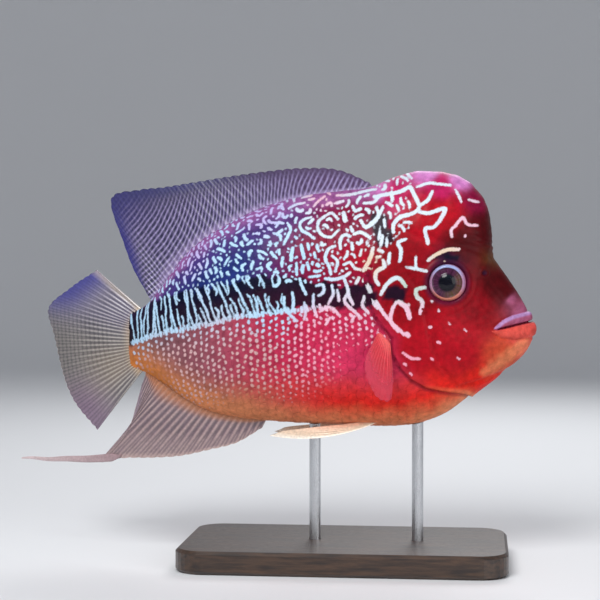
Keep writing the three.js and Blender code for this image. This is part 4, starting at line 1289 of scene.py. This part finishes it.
# A fin's wet membrane, which can get clearer to its tips
def fin_material(name, clear):
    nodes = Nodes(name)
    ground = nodes.attribute("ground", "Color")
    inputs = {
        "Base Color": nodes.shaded(ground, nodes.speckle(900.0, 4.0, 0.84, 1.14)),
        "Roughness": nodes.speckle(600.0, 2.0, 0.3, 0.45),
        "Coat Weight": 0.25, "Coat Roughness": 0.2,
    }
    if clear:
        inputs["Alpha"] = nodes.ramp(nodes.attribute("tip", "Fac"), 0.15, 1.0, 1.0, 1.0 - clear)
    return nodes.finish(inputs, (nodes.noise(1600.0, 3.0), 0.25, 0.0001))


THREAD_START = (-116.0, 53.4)
THREAD_END = (-183.5, 47.9)
THREAD_THICK = 1.1
THREAD_RINGS = 90
THREAD_ROUND = 20


# The thread that trails from the corner of the anal fin
def build_thread(material):
    t = np.linspace(0, 1, THREAD_RINGS)
    a = THREAD_START[0] + (THREAD_END[0] - THREAD_START[0]) * t
    drop = THREAD_START[1] - THREAD_END[1]
    z = THREAD_START[1] - drop * np.sqrt(t) + 0.35 * np.sin(5.0 * math.pi * t) * t
    tall = 2.0 * (1 - t) ** 0.8 * smoothstep(-0.02, 0.1, t) + 0.42
    thick = THREAD_THICK / 2 * (1 - 0.45 * t)
    side = 0.5 * np.sin(3.0 * math.pi * t) * t
    turn = 2 * math.pi * np.arange(THREAD_ROUND) / THREAD_ROUND
    points = np.stack([
        a[:, None] + 0 * turn,
        side[:, None] + thick[:, None] * np.cos(turn),
        z[:, None] + tall[:, None] * np.sin(turn),
    ], axis=-1)
    ends = np.array([[a[0], side[0], z[0]], [a[-1] - 0.6, side[-1], z[-1]]])
    quads, triangles, _ = tube_faces(THREAD_RINGS, THREAD_ROUND)
    pale = np.concatenate([np.repeat(t, THREAD_ROUND), [0, 1]])
    values = {"ground": painted((150, 124, 128), ((226, 206, 206), 0.7 * pale)), "tip": 0 * pale}
    points = np.concatenate([points.reshape(-1, 3), ends])
    nodes = ("anal_fin_filament",)
    fish_piece("anal_filament", points, (quads, triangles), values, material, nodes)


def build_fins():
    firm = fin_material("fin_membrane", 0.18)
    soft = fin_material("fin_clear", 0.72)
    solid = fin_material("fin_solid", 0.0)
    middle = {"dorsal_fin": paint_dorsal, "anal_fin": paint_anal, "tail_fin": paint_tail}
    for name, painter in middle.items():
        build_fin(name, FINS[name], painter, firm, 1, FINS[name].get("nodes", (name,)))
    paired = (("pectoral_fin", paint_pectoral, soft), ("pelvic_fin", paint_pelvic, solid))
    for mirror, side in ((1, "right"), (-1, "left")):
        for name, painter, material in paired:
            sided = f"{name}_{side}"
            build_fin(sided, FINS[name], painter, material, mirror, (sided,))
    build_thread(solid)


# Radius and outward place of the eye's profile, from its middle to behind its rim
EYE_PROFILE = [
    (0.0, 25.9), (1.6, 25.85), (3.2, 25.55), (4.3, 25.1), (4.75, 24.85), (5.1, 24.72), (6.2, 24.55),
    (7.0, 24.4), (7.35, 24.5), (7.9, 24.62), (8.6, 24.3), (9.2, 23.5), (9.6, 22.4), (9.4, 20.5),
    (8.0, 17.0), (5.0, 14.6), (0.0, 13.8),
]
RIM_POINT = 12
PUPIL = 4.2
IRIS = 7.8
EYE_RINGS = 97
EYE_ROUND = 96


def build_eye(side, name, material):
    rows = SmoothRows(EYE_PROFILE, 1)
    order = np.arange(len(EYE_PROFILE), dtype=float)
    knot = np.interp(np.linspace(0, order[-1], EYE_RINGS), order, rows.knots)
    radius, out = np.moveaxis(rows.at(knot), -1, 0)[:, :, None]
    radius = np.maximum(0.02, radius)
    turn = 2 * math.pi * np.arange(EYE_ROUND) / EYE_ROUND
    points = np.stack([
        EYE[0] + radius * np.cos(turn), side * out + 0 * turn, EYE[1] + radius * np.sin(turn),
    ], axis=-1)
    quads, _ = grid_quads(EYE_RINGS, EYE_ROUND, closed=True)
    behind = knot[:, None] > rows.knots[RIM_POINT]
    values = {"ground": paint_eye(radius + 0 * turn, turn, behind).reshape(-1, 3)}
    fish_piece(f"{name}_ball", points.reshape(-1, 3), (quads, None), values, material, (name,))


# Dark pupil with a painted reflection on its upper part, brown iris, pale ring round it and a dark red
# rear
def paint_eye(radius, turn, behind):
    high = np.sin(turn)
    streak = 0.5 + 0.5 * np.sin(23 * turn + 2 * np.sin(5 * turn)) * np.sin(41 * turn)
    iris = painted(
        (48, 16, 38),
        ((70, 52, 22), smoothstep(-0.1, 0.9, np.cos(turn) - 0.6 * high)),
        ((120, 60, 104), 0.3 * streak),
        ((30, 12, 34), 0.7 * smoothstep(5.4, 4.2, radius)),
    )
    ring = painted(
        (160, 120, 150),
        ((150, 162, 206), smoothstep(0.2, 1.0, high)),
        ((198, 116, 84), 0.85 * smoothstep(-0.1, -0.95, high)),
        ((150, 60, 90), 0.8 * smoothstep(8.9, 9.5, radius)),
    )
    # The pupil gets lighter blue-grey toward its top: a painted reflection
    pupil = painted((7, 7, 18), ((26, 44, 52), 0.3 * smoothstep(1.0, 3.6, radius * high)))
    return painted(
        iris,
        (pupil, smoothstep(PUPIL + 0.15, PUPIL - 0.15, radius)),
        (ring, smoothstep(IRIS - 0.25, IRIS + 0.15, radius)),
        ((60, 14, 30), behind.astype(float)),
    )


def eye_material():
    nodes = Nodes("eye_wet")
    ground = nodes.attribute("ground", "Color")
    return nodes.finish({
        "Base Color": nodes.shaded(ground, nodes.speckle(1500.0, 3.0, 0.88, 1.1)),
        "Roughness": 0.2, "Specular IOR Level": 0.1, "Coat Weight": 0.3, "Coat Roughness": 0.03,
    })


# Dark oiled wood for the stand's base
def wood_material():
    nodes = Nodes("stand_wood")
    grain = nodes.noise(60.0, 8.0, (1.0, 9.0, 9.0))
    fine = nodes.noise(500.0, 3.0, (0.6, 8.0, 8.0))
    share = nodes.ramp(grain, 0.35, 0.65, 0.0, 1.0)
    colour = nodes.mix(share, (0.018, 0.010, 0.007, 1), (0.075, 0.038, 0.020, 1))
    return nodes.finish({
        "Base Color": nodes.mix(nodes.ramp(fine, 0.3, 0.7, 0.0, 0.35), colour, (0.012, 0.007, 0.005, 1)),
        "Roughness": nodes.ramp(fine, 0.3, 0.7, 0.32, 0.5),
        "Coat Weight": 0.3, "Coat Roughness": 0.25,
    }, (fine, 0.3, 0.0002))


# Brushed steel for the rods
def steel_material():
    nodes = Nodes("stand_steel")
    brushed = nodes.noise(900.0, 3.0, (6.0, 6.0, 0.3))
    return nodes.finish({
        "Base Color": nodes.mix(brushed, (0.52, 0.53, 0.55, 1), (0.66, 0.67, 0.69, 1)),
        "Metallic": 1.0, "Roughness": nodes.ramp(brushed, 0.3, 0.7, 0.22, 0.36),
    }, (brushed, 0.2, 0.00005))


def finish_stand():
    wood = wood_material()
    steel = steel_material()
    for node, material in (("stand_base", wood), ("stand_rod_front", steel), ("stand_rod_rear", steel)):
        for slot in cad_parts[node].material_slots:
            slot.material = material


# A pale floor that rises to a pale wall all round, so that every view has the same setting
def build_stage():
    flat = np.linspace(0.0, FLOOR_RADIUS - WALL_BEND, 6)
    turn = np.linspace(0, QUARTER, 13)[1:]
    bend = FLOOR_RADIUS - WALL_BEND + WALL_BEND * np.sin(turn)
    radius = np.concatenate([np.maximum(flat, 0.001), bend, [FLOOR_RADIUS]])[:, None]
    height = np.concatenate([0 * flat, WALL_BEND * (1 - np.cos(turn)), [WALL_HEIGHT]])[:, None]
    around = 2 * math.pi * np.arange(STAGE_ROUND) / STAGE_ROUND
    points = np.stack([radius * np.cos(around), radius * np.sin(around), height + 0 * around], axis=-1)
    quads, _ = grid_quads(len(radius), STAGE_ROUND, closed=True)
    stage = make_piece("stage", points.reshape(-1, 3), quads)
    material = Nodes("stage_pale").finish({"Base Color": STAGE_COLOUR, "Roughness": 0.85})
    stage.data.materials.append(material)


def build_lamp(name, spot, size, watts):
    data = bpy.data.lights.new(name, "AREA")
    data.shape = "DISK"
    data.size = size
    data.energy = watts
    add_aimed(name, data, spot)


# Puts a light or a camera at a spot, looking at the camera's target
def add_aimed(name, data, spot):
    item = bpy.data.objects.new(name, data)
    bpy.context.scene.collection.objects.link(item)
    item.location = spot
    item.rotation_euler = (Vector(CAMERA["target"]) - Vector(spot)).to_track_quat("-Z", "Y").to_euler()
    return item


def build_setting():
    build_stage()
    turn = math.radians(CAMERA["azimuth"])
    rise = math.radians(CAMERA["elevation"])
    way = np.array([math.sin(turn) * math.cos(rise), -math.cos(turn) * math.cos(rise), math.sin(rise)])
    data = bpy.data.cameras.new("camera")
    data.lens = LENS
    data.sensor_width = SENSOR
    spot = np.array(CAMERA["target"]) + CAMERA["distance"] * way
    bpy.context.scene.camera = add_aimed("camera", data, spot)
    for name, (lamp_spot, size, watts) in LAMPS.items():
        build_lamp(name, lamp_spot, size, watts)
    world = bpy.data.worlds.new("studio")
    world.use_nodes = True
    sky = world.node_tree.nodes["Background"].inputs
    sky[0].default_value = SKY_COLOUR
    sky[1].default_value = SKY_STRENGTH
    bpy.context.scene.world = world
    bpy.context.scene.view_settings.view_transform = "Standard"


build_setting()
build_skin(hide_material("skin_wet", False))
build_coat(hide_material("scales_wet", True))
build_fins()
wet_eye = eye_material()
build_eye(-1, "eye_right", wet_eye)
build_eye(1, "eye_left", wet_eye)
finish_stand()

bpy.context.view_layer.update()
